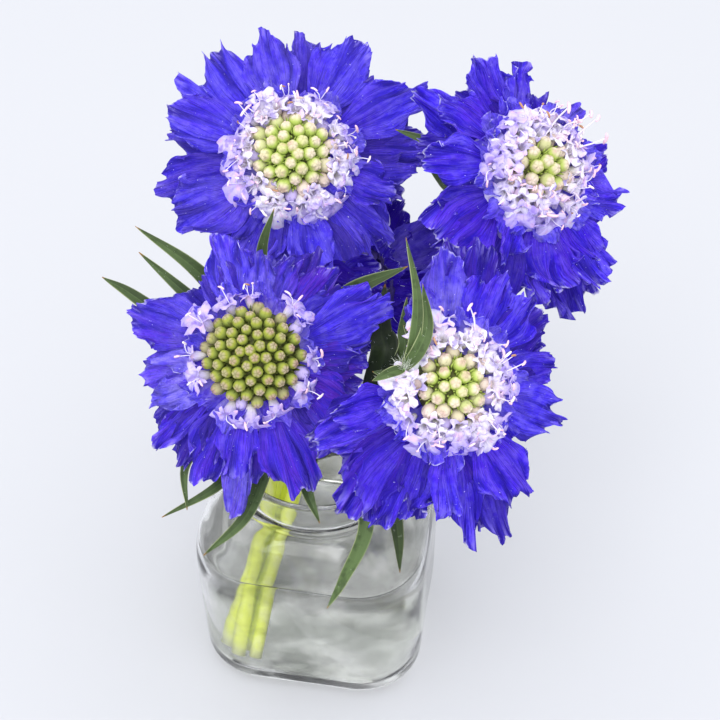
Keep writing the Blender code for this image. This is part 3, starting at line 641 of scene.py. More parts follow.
def petalMaterial(name, warmth, paleToneAndLight):
    look = petalLook
    material, tree = newMaterial(name, Roughness=0.6, Specular_IOR_Level=0.04, Sheen_Weight=0.03,
                                 Sheen_Tint=(0.5, 0.45, 1, 1), Emission_Strength=look["paintedGlow"])
    streaks, mottle = addVeins(tree, *look["veins"])
    threads = addVeins(tree, *look["threads"])["Streaks"]
    # painted highlight: the outer fifth of each petal turns pale along its lighter streaks
    paintedTipHighlight = product(tree, spread(tree, "along", 0.80, 1.0), spread(tree, streaks, 0.5, 0.95, 0.35))
    fade = product(tree, spread(tree, "along", 0.35, 0.95, 0.25, 1.0), "pale")
    # painted highlight: a pale speckled rim along the very edge of each petal
    rim = product(tree, spread(tree, "along", 0.965, 1.0), spread(tree, noiseAt(tree, 260.0), 0.52, 0.68, 0.65))
    body = layered(tree, look, look["body"], [
        ("bright", mottle, 0.36, 0.62, 0.80),
        # painted highlight: the raised folds are lighter
        ("bright", "relief", 0.0, 0.8, 0.5),
        ("violet", noiseAt(tree, 60.0, 2.0), 0.40, 0.64, warmth),
        ("plum", product(tree, "plum", 0.85)),
        ("deep", streaks, 0.50, 0.05, 0.65),
        # painted shade: darker towards the root of each petal, under the ring of florets
        ("deep", "along", 0.05, 0.40, 0.0, 0.7),
        # painted shade: the sunken folds are darker, the deepest nearly black-violet
        ("deep", "relief", 0.15, -0.65, 0.85),
        ("dark", "relief", -0.35, -0.95, 0.65),
        ("line", threads, 0.34, 0.08, 0.6),
        ("bright", threads, 0.70, 0.98, 0.3),
        # painted shade on the lower petals and on the bloom that lies in the shade
        ("dark", "shade"),
        # painted highlight on the petal tips, and the bloom's paleness, partly its own tone and partly painted
        # light
        ("pale", mathNode(tree, "ADD", paintedTipHighlight, paleToneAndLight)),
        ("pale", product(tree, fade, spread(tree, mottle, 0.3, 0.6, 1.0, 0.4))),
        ("speck", rim),
        ("speck", noiseAt(tree, 1500.0, 1.0), 0.75, 0.81, 0.7),
    ])
    # painted glow: the petal colour is also given off as light
    tree.links.new(body, tree.nodes["Principled BSDF"].inputs["Emission Color"])
    ridge = mathNode(tree, "ADD", streaks, product(tree, mottle, 1.8))
    return finish(material, body, mathNode(tree, "ADD", ridge, product(tree, threads, 0.5)), *look["bump"])


# Geometry Nodes: shapes scattered on points that carry an aim, an outward side, a size and a tone.

def socketOf(tree, name):
    return next(item.identifier for item in tree.interface.items_tree
                if item.item_type == "SOCKET" and item.in_out == "INPUT" and item.name == name)


# A rotation leant every way by up to an amount.
def leaning(tree, rotation, amount, seed):
    jitter = addNode(tree, "FunctionNodeRandomValue", data_type="FLOAT_VECTOR")
    jitter.inputs["Min"].default_value = (-1, -1, -1)
    tree.links.new(seed, jitter.inputs["Seed"])
    inputs = {0: jitter.outputs["Value"], "Scale": amount}
    tilt = addNode(tree, "ShaderNodeVectorMath", inputs, operation="SCALE")
    inputs = {"Rotation": rotation, "Rotate By": tilt.outputs["Vector"]}
    return addNode(tree, "FunctionNodeRotateRotation", inputs, rotation_space="LOCAL").outputs[0]


# Instances on points, made real and given their material.
def standing(tree, given, result, **inputs):
    inputs = {name.replace("_", " "): value for name, value in inputs.items()}
    instances = addNode(tree, "GeometryNodeInstanceOnPoints", inputs)
    real = addNode(tree, "GeometryNodeRealizeInstances", {"Geometry": instances.outputs[0]})
    inputs = {"Geometry": real.outputs[0], "Material": given["Finish"]}
    tree.links.new(addNode(tree, "GeometryNodeSetMaterial", inputs).outputs[0], result["Result"])
    return tree


def scatterTree():
    tree, given, result = newGroup("scatterShapes", "GeometryNodeTree", [
        ("Points", "Geometry"), ("Shapes", "Collection"), ("Size", "Float", 1.0), ("Size Spread", "Float", 0.1),
        ("Tilt", "Float", 0.1), ("Seed", "Int"), ("Finish", "Material")], [("Result", "Geometry")])

    def named(name, kind="FLOAT_VECTOR"):
        return addNode(tree, "GeometryNodeInputNamedAttribute", {"Name": name}, data_type=kind).outputs[0]

    def turned(axis, pivot, **inputs):
        return addNode(tree, "FunctionNodeAlignRotationToVector", inputs, axis=axis, pivot_axis=pivot).outputs[0]

    def drawn(kind, end, value):
        node = addNode(tree, "FunctionNodeRandomValue", {"Seed": given["Seed"]}, data_type=kind)
        next(s for s in node.inputs if s.name == end and s.enabled).default_value = value
        return next(s for s in node.outputs if s.enabled)

    aimed = turned("Z", "AUTO", Vector=named("aim"))
    faced = turned("X", "Z", Rotation=aimed, Vector=named("outward"))
    inputs = {0: drawn("FLOAT", "Min", 0.0), 1: given["Size Spread"], 2: given["Size"]}
    grown = addNode(tree, "ShaderNodeMath", inputs, operation="MULTIPLY_ADD").outputs[0]
    inputs = {"Collection": given["Shapes"], "Separate Children": True, "Reset Children": True}
    shapes = addNode(tree, "GeometryNodeCollectionInfo", inputs).outputs[0]
    return standing(tree, given, result, Points=given["Points"], Instance=shapes, Pick_Instance=True,
                    Instance_Index=drawn("INT", "Max", 50), Scale=product(tree, grown, named("size", "FLOAT")),
                    Rotation=leaning(tree, faced, given["Tilt"], given["Seed"]))


# Short fine hairs that stand on a surface.
def hairTree():
    tree, given, result = newGroup("fineHairs", "GeometryNodeTree", [
        ("Surface", "Geometry"), ("Density", "Float", 1.0), ("Length", "Float", 1.0 * mm),
        ("Radius", "Float", 0.04 * mm), ("Lean", "Float", 0.5), ("Seed", "Int"), ("Finish", "Material")],
        [("Result", "Geometry")])
    inputs = {"Mesh": given["Surface"], "Density": given["Density"], "Seed": given["Seed"]}
    points = addNode(tree, "GeometryNodeDistributePointsOnFaces", inputs, distribute_method="RANDOM").outputs
    inputs = {"Vertices": 3, "Depth": given["Length"], "Radius Bottom": given["Radius"]}
    hair = addNode(tree, "GeometryNodeMeshCone", inputs, fill_type="TRIANGLE_FAN").outputs["Mesh"]
    return standing(tree, given, result, Points=points["Points"], Instance=hair,
                    Rotation=leaning(tree, points["Rotation"], given["Lean"], given["Seed"]))


scatter = scatterTree()
hairs = hairTree()


# Run a node tree on a source object and keep its result as a plain mesh of its own.
def throughNodes(name, source, tree, **inputs):
    modifier = source.modifiers.new(name, "NODES")
    modifier.node_group = tree
    for key, value in inputs.items():
        modifier[socketOf(tree, key.replace("_", " "))] = value
    bpy.context.view_layer.update()
    graph = bpy.context.evaluated_depsgraph_get()
    mesh = bpy.data.meshes.new_from_object(source.evaluated_get(graph))
    mesh.name = name
    source.modifiers.remove(modifier)
    return addObject(name, mesh)


# Each row has a place, an aim, an outward side, a size and a tone.
def pointCloud(name, rows):
    places, *layers = zip(*rows)
    mesh = bpy.data.meshes.new(name)
    mesh.from_pydata(places, [], [])
    for key, values in zip(("aim", "outward", "size", "tone"), layers):
        addLayer(mesh, key, values)
    return addObject(name, mesh)


# Shapes that differ by chance, for a scatter to pick from, in a collection that is never rendered itself.
def variants(name, count, seed, shape, *inputs):
    draw = random.Random(seed)
    collection = bpy.data.collections.new(name + "Shapes")
    for number in range(count):
        pile = Pile()
        shape(pile, draw, *inputs)
        made = pile.build("%s_%d" % (name, number))
        bpy.context.scene.collection.objects.unlink(made)
        collection.objects.link(made)
    return collection


def scattered(name, cloud, shapes, seed, material, node=None, sizeSpread=0.15, tilt=0.12):
    made = throughNodes(name, cloud, scatter, Shapes=shapes, Size=1.0, Size_Spread=sizeSpread, Tilt=tilt,
                        Seed=seed, Finish=material)
    bpy.data.objects.remove(cloud, do_unlink=True)
    made.data.shade_smooth()
    settle(made, node)


# Buds of the pincushion: round, with five lobes closed over the top.

budLook = {
    "seed": 7,
    "radius": 2.0 * mm,
    "height": 2.5 * mm,
    "lobes": 5,
    "crease": 0.13,
    "flatTop": 0.86,
    "dip": 0.10,
    "segments": 20,
    "rings": 9,
    "variants": 4,
    "sepal": 0.42 * mm,
    "tip": 0.05 * mm,
    "headBottom": 3.8 * mm,
    "coreRings": 9,
    "coreSides": 28,
    "green": (0.47, 0.58, 0.13),
    # painted shade: the dark greens at the foot of each bud and in the grooves between its lobes
    "shade": (0.05, 0.07, 0.008),
    "gap": (0.008, 0.010, 0.002),
    "cream": (0.74, 0.66, 0.38),
    "pink": (0.84, 0.68, 0.62),
    "blush": (0.46, 0.24, 0.20),
    "lime": (0.35, 0.38, 0.05),
    "lilac": (0.62, 0.52, 0.92),
    "olive": (0.145, 0.165, 0.018),
    "plum": (0.29, 0.18, 0.16),
    "brown": (0.10, 0.055, 0.015),
    "bump": (0.5, 0.2 * mm),
    # the head core's near-black greens are painted shade between the buds
    "core": {"colours": [(0.03, 0.035, 0.006), (0.16, 0.17, 0.03)], "noise": (500.0,), "Roughness": 0.7},
}


# A round bud, a little flat on top, whose five lobes meet in a star, with a green point between them below.
def budShape(pile, draw):
    look = budLook
    wide, tall, sepal = look["radius"], look["height"], look["sepal"]
    work = bmesh.new()
    bmesh.ops.create_uvsphere(work, u_segments=look["segments"], v_segments=look["rings"], radius=1)
    grooves = []
    for spot in work.verts:
        x, y, z = spot.co
        flat, turn, top = math.hypot(x, y), math.atan2(y, x), max(0.0, z)
        groove = (1 - abs(math.cos(0.5 * look["lobes"] * turn))) if flat > 0.01 else 1.0
        pinch = 1 - look["crease"] * groove * (0.2 + top)
        spot.co = Vector((x * pinch, y * pinch, math.copysign(abs(z) ** look["flatTop"], z)))
        spot.co.z -= look["dip"] * groove * top + look["dip"] * math.exp(-(flat / 0.25) ** 2) * top
        grooves.append(groove * top)
    points = np.array([list(spot.co) for spot in work.verts])
    pile.add(points * (wide, wide, tall), [[[corner.index for corner in face.verts]] for face in work.faces],
             along=points[:, 2], groove=grooves, sepal=0.0)
    work.free()
    for lobe in range(look["lobes"]):
        turn = (lobe + draw.uniform(0.3, 0.7)) * math.tau / look["lobes"]
        tip, rise = draw.uniform(1.12, 1.25) * wide, draw.uniform(-0.1, 0.55) * tall
        path = [Vector((out * math.cos(turn), out * math.sin(turn), height)) for out, height in
                ((0.80 * wide, -0.9 * tall), (1.12 * wide, -0.25 * tall), (tip, rise))]
        addTube(pile, path, [sepal, 0.8 * sepal, look["tip"]], 4, groove=0.0, sepal=1.0)


# Height of the head's dome over the bloom's face, at a distance from its axis, and the radius of its sphere.
def headHeight(bloom, flat):
    radius, rise = bloom["headRadius"] * mm, bloom["headRise"] * mm
    sphere = (radius * radius + rise * rise) / (2 * rise)
    return budLook["headBottom"] + rise - sphere + math.sqrt(max(0.0, sphere * sphere - flat * flat)), sphere


def budCloud(bloom):
    matrix = bloomFrame(bloom)
    turn = matrix.to_3x3()
    draw = random.Random(bloom["seed"] + 1)
    ripeness, redness, rows = bloom["ripeness"], bloom["redness"], []
    for number in range(bloom["buds"] + bloom["edgeBuds"]):
        share = math.sqrt((number + 0.12) / bloom["buds"])
        flat = bloom["headRadius"] * mm * share
        height, sphere = headHeight(bloom, flat)
        clock = number * goldenAngle
        lean = math.asin(min(1.0, flat / sphere)) * 1.1
        aim = onFace(clock, math.sin(lean), math.cos(lean))
        place = matrix @ (onFace(clock, flat, height) + draw.uniform(0.7, 1.2) * mm * aim)
        size = bloom["budSize"] * (0.95 + 0.14 * share ** 3 * (1 + ripeness) + draw.uniform(-0.07, 0.07))
        tone = ripeness * 0.5 + share ** 3 * (0.9 - 0.4 * redness) + draw.uniform(-0.25, 0.25)
        tone = 2.0 if number >= bloom["buds"] else min(1.0, max(0.0, tone))  # 2 for the lilac ones at the edge
        rows.append((place, turn @ aim, turn @ onFace(clock, 1, 0), size, tone))
    return pointCloud("buds", rows)


# The green dome between the buds, coloured dark as painted shade in the gaps between them.
def headCore(key, bloom, material):
    look = budLook
    turn = np.linspace(0, math.tau, look["coreSides"], endpoint=False)[None, :]
    flat = np.append(np.linspace(0.04, 1, look["coreRings"] - 1), 0.9)[:, None] * bloom["headRadius"] * mm
    heights = np.array([headHeight(bloom, value)[0] for value in flat[:, 0]])[:, None] - 0.9 * mm
    heights[-1] = look["headBottom"] - 2 * mm
    grid = np.stack([flat * np.sin(turn), flat * np.cos(turn), heights + 0 * turn], axis=-1)
    pile = Pile()
    addSheet(pile, placed(bloomFrame(bloom), grid), 0.8 * mm, wrap=True)
    settle(pile.build("head_core_" + key), None, material)


def budMaterial(name, redness):
    look = budLook
    material, tree = newMaterial(name, Roughness=0.5, Specular_IOR_Level=0.2)
    fresh = mixColour(tree, redness, look["green"], look["olive"])
    gap = mixColour(tree, redness, look["shade"], look["gap"])
    top = mixColour(tree, redness, mixColour(tree, "tone", look["cream"], look["pink"]), look["plum"])
    ring = product(tree, spread(tree, "along", 0.25, 0.55), spread(tree, "along", 0.92, 0.66))
    crown = spread(tree, "along", 0.30 + 0.4 * redness, 0.95)
    capped = product(tree, crown, mathNode(tree, "ADD", "tone", 0.65, clamp=True))
    ripe = spread(tree, "tone", 0.45, 1.0, 0.95 - 0.5 * redness)
    speck = noiseAt(tree, 900.0, 3.0)
    # painted shade: each bud starts dark at its foot and in the grooves between its lobes, and on redder heads
    # the sepals take part of that dark too
    body = layered(tree, look, gap, [
        (fresh, "along", -0.75, 0.4),
        ("lime", product(tree, ring, min(1.0, 1.4 * redness))),
        (top, mathNode(tree, "MAXIMUM", capped, ripe)),
        ("blush", product(tree, spread(tree, noiseAt(tree, 330.0, 3.0), 0.48, 0.70, 0.6), crown)),
        ("lilac", "tone", 1.1, 1.9),
        (gap, "groove", 0.25, 0.85, 0.10 + 0.4 * redness),
        ("brown", speck, 0.55, 0.72, 0.35),
        (mixColour(tree, redness, fresh, look["gap"]), "sepal"),
    ])
    return finish(material, body, speck, *look["bump"])


# Inner florets: small lilac-white funnels with spreading lobes, and their stamens.

floretLook = {
    "tube": 0.8 * mm,
    "throat": 1.35 * mm,
    "length": 4.4 * mm,
    "flare": 3.5 * mm,
    "lobes": 5,
    "rows": 11,
    "columns": 35,
    "curl": 1.3 * mm,
    "droop": 0.9 * mm,
    "thickness": 0.16 * mm,
    "inner": (4, 11, 0.55),  # how many shapes, a seed, and how far their outer lobes stick out
    "outer": (4, 13, 1.35),
    "sizes": (1.0, 0.95, 0.8),  # from the outer row to the inner one
    "root": 3.9 * mm,
    "rowStep": 0.2 * mm,
    "white": (0.88, 0.84, 0.93),
    "lilac": (0.56, 0.46, 0.92),
    "purple": (0.17, 0.08, 0.50),
    "shadow": (0.015, 0.006, 0.12),
    "pink": (0.86, 0.50, 0.72),
    "throatTint": (0.90, 0.88, 0.66),
    "veins": (9.0, 1.2),
    "bump": (0.5, 0.2 * mm),
}

stamenLook = {
    "seed": 12,
    "length": 5.2 * mm,
    "radius": 0.13 * mm,
    "bend": 1.8 * mm,
    "anther": 1.9 * mm,
    "antherRadius": 0.30 * mm,
    "variants": 6,
    "thread": (0.92, 0.86, 0.96),
    "pollen": (0.95, 0.62, 0.70),
    "cream": (0.98, 0.90, 0.86),
    "dry": (0.50, 0.26, 0.14),
    "bump": (0.3, 0.08 * mm),
}


# A crumpled funnel whose lobes spread unevenly, the longest ones to the outside.
def floretShape(pile, draw, outerLobe):
    look = floretLook
    v = np.linspace(0, 1, look["rows"])[:, None] ** 0.9
    turn = np.linspace(0, math.tau, look["columns"], endpoint=False)[None, :]
    outside = np.maximum(0, np.cos(turn))
    wide = ease((v - 0.4) / 0.6)

    def wave(count):
        return np.sin(count * turn + draw.uniform(0, 6))

    lobe = 0.24 + 0.76 * np.abs(np.cos(0.5 * look["lobes"] * turn)) ** 0.6
    uneven = 1 + 0.2 * wave(1) + 0.05 * wave(9)
    curl = 0.35 * wave(3) + 0.3 * wave(5)
    curl = curl + 0.25 * wave(11) * v ** 3
    tube = look["tube"] + (look["throat"] - look["tube"]) * ease(v / 0.4)
    radius = tube + (look["flare"] * lobe * (1 + outerLobe * outside ** 2) * uneven - look["throat"]) * wide
    height = look["length"] * (np.minimum(v / 0.55, 1.0) * 0.85 + 0.15 * ease(v))
    height = height + wide * (look["curl"] * curl + draw.uniform(-0.9, 0.7) * mm * wide)
    height = height - outerLobe * look["droop"] * outside * wide ** 2
    swirl = turn + 0.25 * wide * wave(4) / look["lobes"]
    grid = np.stack([radius * np.cos(swirl), radius * np.sin(swirl), height + 0 * turn], axis=-1)
    addSheet(pile, grid, look["thickness"], wrap=True, along=v, across=turn / np.pi - 1)


# A bent thread with an anther across its end.
def stamenShape(pile, draw):
    look = stamenLook
    bend, wide = look["bend"], look["antherRadius"]
    lean, side = draw.uniform(-bend, bend), draw.uniform(-bend, bend)
    tall = look["length"] * draw.uniform(0.6, 1.2)
    route = [Vector((0, 0, 0)), Vector((-lean * 0.2, side * 0.5, tall * 0.55)), Vector((lean, side, tall))]
    addTube(pile, smoothPath(route, 4), [look["radius"]] * 9, 4, anther=0.0)
    across = draw.uniform(0, math.pi)
    ends = [Vector((lean + way * 0.5 * look["anther"] * math.cos(across),
                    side + way * 0.5 * look["anther"] * math.sin(across), tall + rise * mm))
            for way, rise in ((-1, -0.5), (0, 0.1), (1, 0.3))]
    addTube(pile, smoothPath(ends, 2), [wide * share for share in (0.6, 1, 1, 1, 0.6)], 5, anther=1.0)


# Points for the outer and inner rows of florets, and for the stamens that come out of their mouths.
def floretClouds(bloom):
    look = floretLook
    matrix = bloomFrame(bloom)
    draw = random.Random(bloom["seed"] + 2)
    shaded, gap = "dim" in bloom, bloom.get("floretGap", (0, 0))
    clouds = {"outer": [], "inner": [], "threads": []}

    def add(kind, clock, root, aim, size, tone):
        turn = matrix.to_3x3()
        clouds[kind].append((matrix @ root, turn @ aim, turn @ onFace(clock, 1, 0), size, tone))

    for row, (count, radius, tilt) in enumerate(bloom["florets"]):
        for number in range(count):
            clock = math.tau * (number + 0.5 * row + draw.uniform(-0.3, 0.3)) / count
            if gap[0] < math.degrees(clock) % 360 < gap[1]:
                continue
            lean = math.radians(tilt + draw.uniform(-14, 14))
            place = (radius - 1.4 + draw.uniform(-0.6, 0.6)) * mm
            root = onFace(clock, place, look["root"] + look["rowStep"] * row)
            aim = onFace(clock, math.sin(lean), math.cos(lean))
            size = draw.uniform(0.78, 1.2) * look["sizes"][row]
            tone = draw.uniform(0.0, 0.5) + 0.5 * bloom["redness"] + (0 if row else 0.35)
            add("inner" if row else "outer", clock, root, aim, size, 2.0 if shaded else min(1.0, tone))
            for _ in range(0 if shaded else draw.choice((1, 1, 2, 3))):
                swing = someWay(draw, 0.5)
                add("threads", clock, root + aim * look["length"] * size * 0.7, (aim + swing).normalized(),
                    draw.uniform(0.7, 1.15), draw.uniform(0, 1))
    for clock, radius, size in bloom.get("longStamens", []):
        clock = math.radians(clock)
        add("threads", clock, onFace(clock, radius * mm, 7 * mm), onFace(clock, 0.75, 0.66), size, 0.1)
    return {name: pointCloud(name, rows) for name, rows in clouds.items() if rows}


def floretMaterial():
    look = floretLook
    material, tree = newMaterial("innerPetal", Roughness=0.5, Specular_IOR_Level=0.25)
    lines, mottle = addVeins(tree, *look["veins"])
    patches = noiseAt(tree, 330.0, 2.0)
    body = layered(tree, look, look["white"], [
        ("lilac", "tone", 0.2, 0.95),
        ("lilac", product(tree, spread(tree, "along", 0.55, 1.0), spread(tree, "tone", 0.1, 0.8, 0.9, 0.1))),
        ("purple", patches, 0.52, 0.68, 0.6),
        ("pink", patches, 0.44, 0.34, 0.45),
        ("purple", lines, 0.35, 0.0, 0.35),
        ("throatTint", "along", 0.1, 0.5, 0.0, 0.6),
        ("shadow", "tone", 1.2, 1.9, 0.92),
    ])
    return finish(material, body, mathNode(tree, "ADD", lines, mottle), *look["bump"])


def stamenMaterial():
    look = stamenLook
    material, tree = newMaterial("stamen", Roughness=0.5, Specular_IOR_Level=0.3)
    pollen = layered(tree, look, look["pollen"], [("cream", "tone", 0.3, 0.8), ("dry", "tone", 0.90, 0.93)])
    body = mixColour(tree, "anther", look["thread"], pollen)
    return finish(material, body, noiseAt(tree, 2500.0), *look["bump"])


def bloomCentre(key, bloom, kit):
    clouds, seed = floretClouds(bloom), bloom["seed"]
    scattered("outer_florets_" + key, clouds["outer"], kit["outerFlorets"], seed,
              kit["innerPetal"], "bloom_%s_inner_florets" % key)
    if "inner" in clouds:
        scattered("inner_florets_" + key, clouds["inner"], kit["innerFlorets"], seed + 5,
                  kit["innerPetal"])
    if "threads" in clouds:
        scattered("stamens_" + key, clouds["threads"], kit["stamens"], seed + 1, kit["stamen"],
                  tilt=0.25)
    scattered("buds_" + key, budCloud(bloom), kit["buds"], seed + 2,
              budMaterial("bud_" + key, bloom["redness"]), "bloom_%s_buds" % key, 0.05, 0.08)
    headCore(key, bloom, kit["headCore"])
    print("centre of bloom", key + ":", bloom["buds"], "buds")


# Stems, leaves and bracts.

stemLook = {
    "radius": 1.9 * mm,
    "shootRadius": 1.2 * mm,
    "sides": 14,
    "cutHeight": 8.0,
    "neckHeight": 75.0,
    "receptacleDepth": 9 * mm,
    "receptacleRadius": 8.5 * mm,
    "green": (0.16, 0.30, 0.07),
    # painted light: inside the jar the stems turn a light yellow-green with pale streaks, standing in for the
    # light they catch in the water
    "lit": (0.90, 1.0, 0.10),
    "pale": (0.95, 1.0, 0.42),
    "litBelow": (64 * mm, 94 * mm),
    "bump": (0.3, 0.2 * mm),
}

leafLook = {
    "facing": (0, -0.6, 0.8),
    "fold": 0.42,
    "thickness": 0.35 * mm,
    "rows": 8,
    "columns": 11,
    "waviness": 0.25 * mm,
    "down": {"Density": 0.12e6, "Length": 0.8 * mm, "Radius": 0.03 * mm, "Lean": 0.6},
    "dark": (0.007, 0.012, 0.004),
    "body": (0.026, 0.044, 0.012),
    "light": (0.105, 0.165, 0.055),
    "margin": (0.62, 0.66, 0.34),
    "tip": (0.55, 0.22, 0.05),
    "brown": (0.07, 0.04, 0.015),
    "veins": (5.0, 7.0),
    "bump": (0.5, 0.25 * mm),
    "downLook": {"colours": [(0.62, 0.70, 0.52), (0.86, 0.88, 0.80)], "noise": (300.0,), "Roughness": 0.6,
                 "Sheen_Weight": 0.3},
}

bractLook = {
    "count": 8,
    "root": 6 * mm,
    "width": 3.6 * mm,
    "height": -2.9 * mm,
    "drop": 0.42,
}


def stemRoute(bloom):
    look = stemLook
    route = [(*bloom["cutEnd"], look["cutHeight"]), (*bloom["neck"], look["neckHeight"]), *bloom["route"]]
    under = [Vector((0, 0, rise * mm - look["receptacleDepth"])) for rise in (-1.5, 4)]
    return [Vector(place) * mm for place in route] + [bloomFrame(bloom) @ place for place in under]


# The point of a path that is nearest to a height in millimetres.
def nearest(path, height):
    return min(path, key=lambda place: abs(place.z - height * mm))


# A narrow blade: folded up along its rib, a little wavy, and thin at its edges.
def addLeaf(pile, path, width, facing, fold, draw, tone=0.5, spot=0.0):
    look = leafLook
    t = np.linspace(-1, 1, look["columns"])
    last = len(path) - 1
    rows = []
    turn = draw.uniform(0, 6.3)
    for number, place in enumerate(path):
        s = number / last
        ahead = (path[min(number + 1, last)] - path[max(number - 1, 0)]).normalized()
        side = ahead.cross(Vector(facing)).normalized()
        half = 0.5 * width * max(0.03, math.sin(math.pi * (0.06 + 0.94 * s) ** 0.8) ** 0.8)
        wave = look["waviness"] * np.sin(9 * s + 1.3 * t + turn) * np.abs(t) ** 2
        rise = fold * half * np.abs(t) ** 1.3 + wave
        rows.append(np.array(place) + np.outer(half * t, side) + np.outer(rise, side.cross(ahead)))
    s = np.linspace(0, 1, len(path))[:, None]
    thin = look["thickness"] * (1.2 - 0.7 * np.abs(t)[None, :] ** 2) * np.minimum(1, (1.02 - s) * 12)
    addSheet(pile, np.array(rows), np.maximum(thin, 0.05 * mm), along=s, across=t[None, :],
             tone=tone + draw.uniform(-0.5, 0.5), pale=spot)


# The green cup behind the florets.
def addReceptacle(pile, matrix):
    radius = stemLook["receptacleRadius"]
    profile = [(1.1 * stemLook["radius"], -stemLook["receptacleDepth"] - 1.0 * mm)]
    profile += [(share * radius, height * mm) for share, height in
                ((0.42, -7.4), (0.74, -5.0), (0.95, -3.2), (1, -1.6), (0.9, -1.2))] + [(0.1 * mm, -1.0 * mm)]
    path = smoothPath([Vector((flat, 0, high)) for flat, high in profile], 4)
    curve = np.array([list(place) for place in path])
    turn = np.linspace(0, math.tau, 32, endpoint=False)[None, :]
    flat = curve[:, :1] * (1 + 0.03 * np.cos(8 * turn))
    grid = np.stack([flat * np.cos(turn), -flat * np.sin(turn), curve[:, 2:] + 0 * turn], axis=-1)
    addSheet(pile, placed(matrix, grid), 0.3 * mm, wrap=True, along=0.5, across=0.0, tone=0.5, pale=0.0)


def addBracts(pile, bloom, matrix, draw):
    look = bractLook
    facing = matrix.to_3x3() @ Vector((0, 0, 1))
    ring = [(360 * (number + 0.4) / look["count"], bloom["bractReach"]) for number in range(look["count"])]
    for clock, reach in ring + bloom.get("longBracts", []):
        path = []
        for part in np.linspace(0, 1, 12):
            out = look["root"] + (reach * mm - look["root"]) * part
            drop = (out - look["root"]) * look["drop"] * (1 - 0.3 * part)
            path.append(matrix @ onFace(math.radians(clock), out, look["height"] - drop))
        addLeaf(pile, path, look["width"], facing, 0.12, draw)


# The thin side shoot that comes up between two petals of one bloom, and the points and widths of its leaves.
shootLook = {
    "bloom": "d",
    "clock": 295,
    "leavesStemAt": 92,
    "route": [(10.5, -15), (12, -5), (13.5, 9.5)],  # distance from the bloom's axis, and height
    "leaves": [([(-9.4, 12.5, 12), (-7.6, 23, 12.5), (-8.0, 38, 8.5)], 3.0),
               ([(-8.6, 10, 12), (-5.9, 16, 12.5), (-5.4, 26, 10)], 3.7),
               ([(-16, 5.2, 10.5), (-20.5, 3.6, 9)], 2.6)],
    "tuft": 38,
    "tuftLength": 4.2 * mm,
    "tuftRadius": 0.045 * mm,
}


def addShoot(stems, leaves, tuft, matrix, path, draw):
    look, facing = shootLook, matrix.to_3x3() @ Vector((0, 0, 1))
    route = [nearest(path, look["leavesStemAt"])]
    route += [matrix @ onFace(math.radians(look["clock"]), out * mm, high * mm) for out, high in look["route"]]
    top, fine = route[-1], smoothPath(route, 8)
    addTube(stems, fine, [stemLook["shootRadius"]] * (len(fine) - 2) + [0.8 * mm, 0.3 * mm], 10, tone=0.4)
    for places, width in look["leaves"]:
        route = [top - 1.0 * mm * facing] + [matrix @ (Vector(place) * mm) for place in places]
        addLeaf(leaves, smoothPath(route, leafLook["rows"]), width * mm, facing, leafLook["fold"], draw)
    for _ in range(look["tuft"]):
        root = top + someWay(draw, 0.8) * mm
        way = matrix.to_3x3() @ Vector((draw.uniform(-0.9, 0.6), draw.uniform(0.1, 1), draw.uniform(-0.3, 0.7)))
        tip = root + way.normalized() * look["tuftLength"] * draw.uniform(0.5, 1.1)
        bend = (root + tip) / 2 + someWay(draw, 0.4) * mm
        addTube(tuft, [root, bend, tip], [look["tuftRadius"] * share for share in (1, 1, 0.2)], 3)


def leafyStem(key, bloom, kit):
    matrix, look = bloomFrame(bloom), leafLook
    draw = random.Random(bloom["seed"] + 3)
    stems, leaves, tuft = Pile(), Pile(), Pile()
    coarse, fine = [smoothPath(stemRoute(bloom), steps) for steps in (3, 12)]
    addTube(stems, fine, [stemLook["radius"]] * len(fine), stemLook["sides"], tone=draw.uniform(0, 1))
    addReceptacle(leaves, matrix)
    addBracts(leaves, bloom, matrix, draw)
    for height, places, width, *tones in bloom["leaves"]:
        path = smoothPath([nearest(coarse, height)] + [Vector(place) * mm for place in places], look["rows"])
        addLeaf(leaves, path, width * mm, look["facing"], look["fold"], draw, *tones)
    if key == shootLook["bloom"]:
        addShoot(stems, leaves, tuft, matrix, coarse, draw)
    settle(stems.build("stem_" + key), None, kit["stem"])
    leaf = settle(leaves.build("leaves_" + key), "bloom_%s_leafy_stem" % key, kit["leaf"])
    down = throughNodes("down_" + key, leaf, hairs, Seed=bloom["seed"], Finish=kit["down"], **look["down"])
    settle(down)
    if tuft.count:
        settle(tuft.build("tuft_" + key), None, kit["down"])
    print("stem and leaves of bloom", key + ":", len(down.data.polygons) // 4, "hairs")


def leafMaterial():
    look = leafLook
    material, tree = newMaterial("leaf", Roughness=0.5, Specular_IOR_Level=0.22)
    lines, mottle = addVeins(tree, *look["veins"])
    across = mathNode(tree, "ABSOLUTE", "across")
    patch = product(tree, spread(tree, "along", 0.42, 0.50), spread(tree, "along", 0.68, 0.60))
    body = layered(tree, look, look["dark"], [
        ("body", mottle, 0.40, 0.66),
        ("light", "across", -0.05, 0.10, 0.0, 0.45),
        ("light", "tone", 0.0, 2.0, 0.85),
        ("light", noiseAt(tree, 90.0), 0.45, 0.75, 0.5),
        ("dark", noiseAt(tree, 420.0, 3.0), 0.50, 0.66, 0.7),
        ("light", across, 0.0, 0.12, 0.0, 0.8),
        ("margin", across, 0.88, 1.0, 0.5),
        ("light", product(tree, "under", 0.35)),
        # painted shade: a leaf with a tone below zero is darkened as if it lay in the shade
        ("dark", "tone", 0.0, -1.0, 0.85),
        ("tip", "along", 0.965, 1.0, 0.6),
        ("brown", product(tree, patch, "pale")),
    ])
    ridge = mathNode(tree, "SUBTRACT", mottle, product(tree, lines, 0.4))
    return finish(material, body, ridge, *look["bump"])


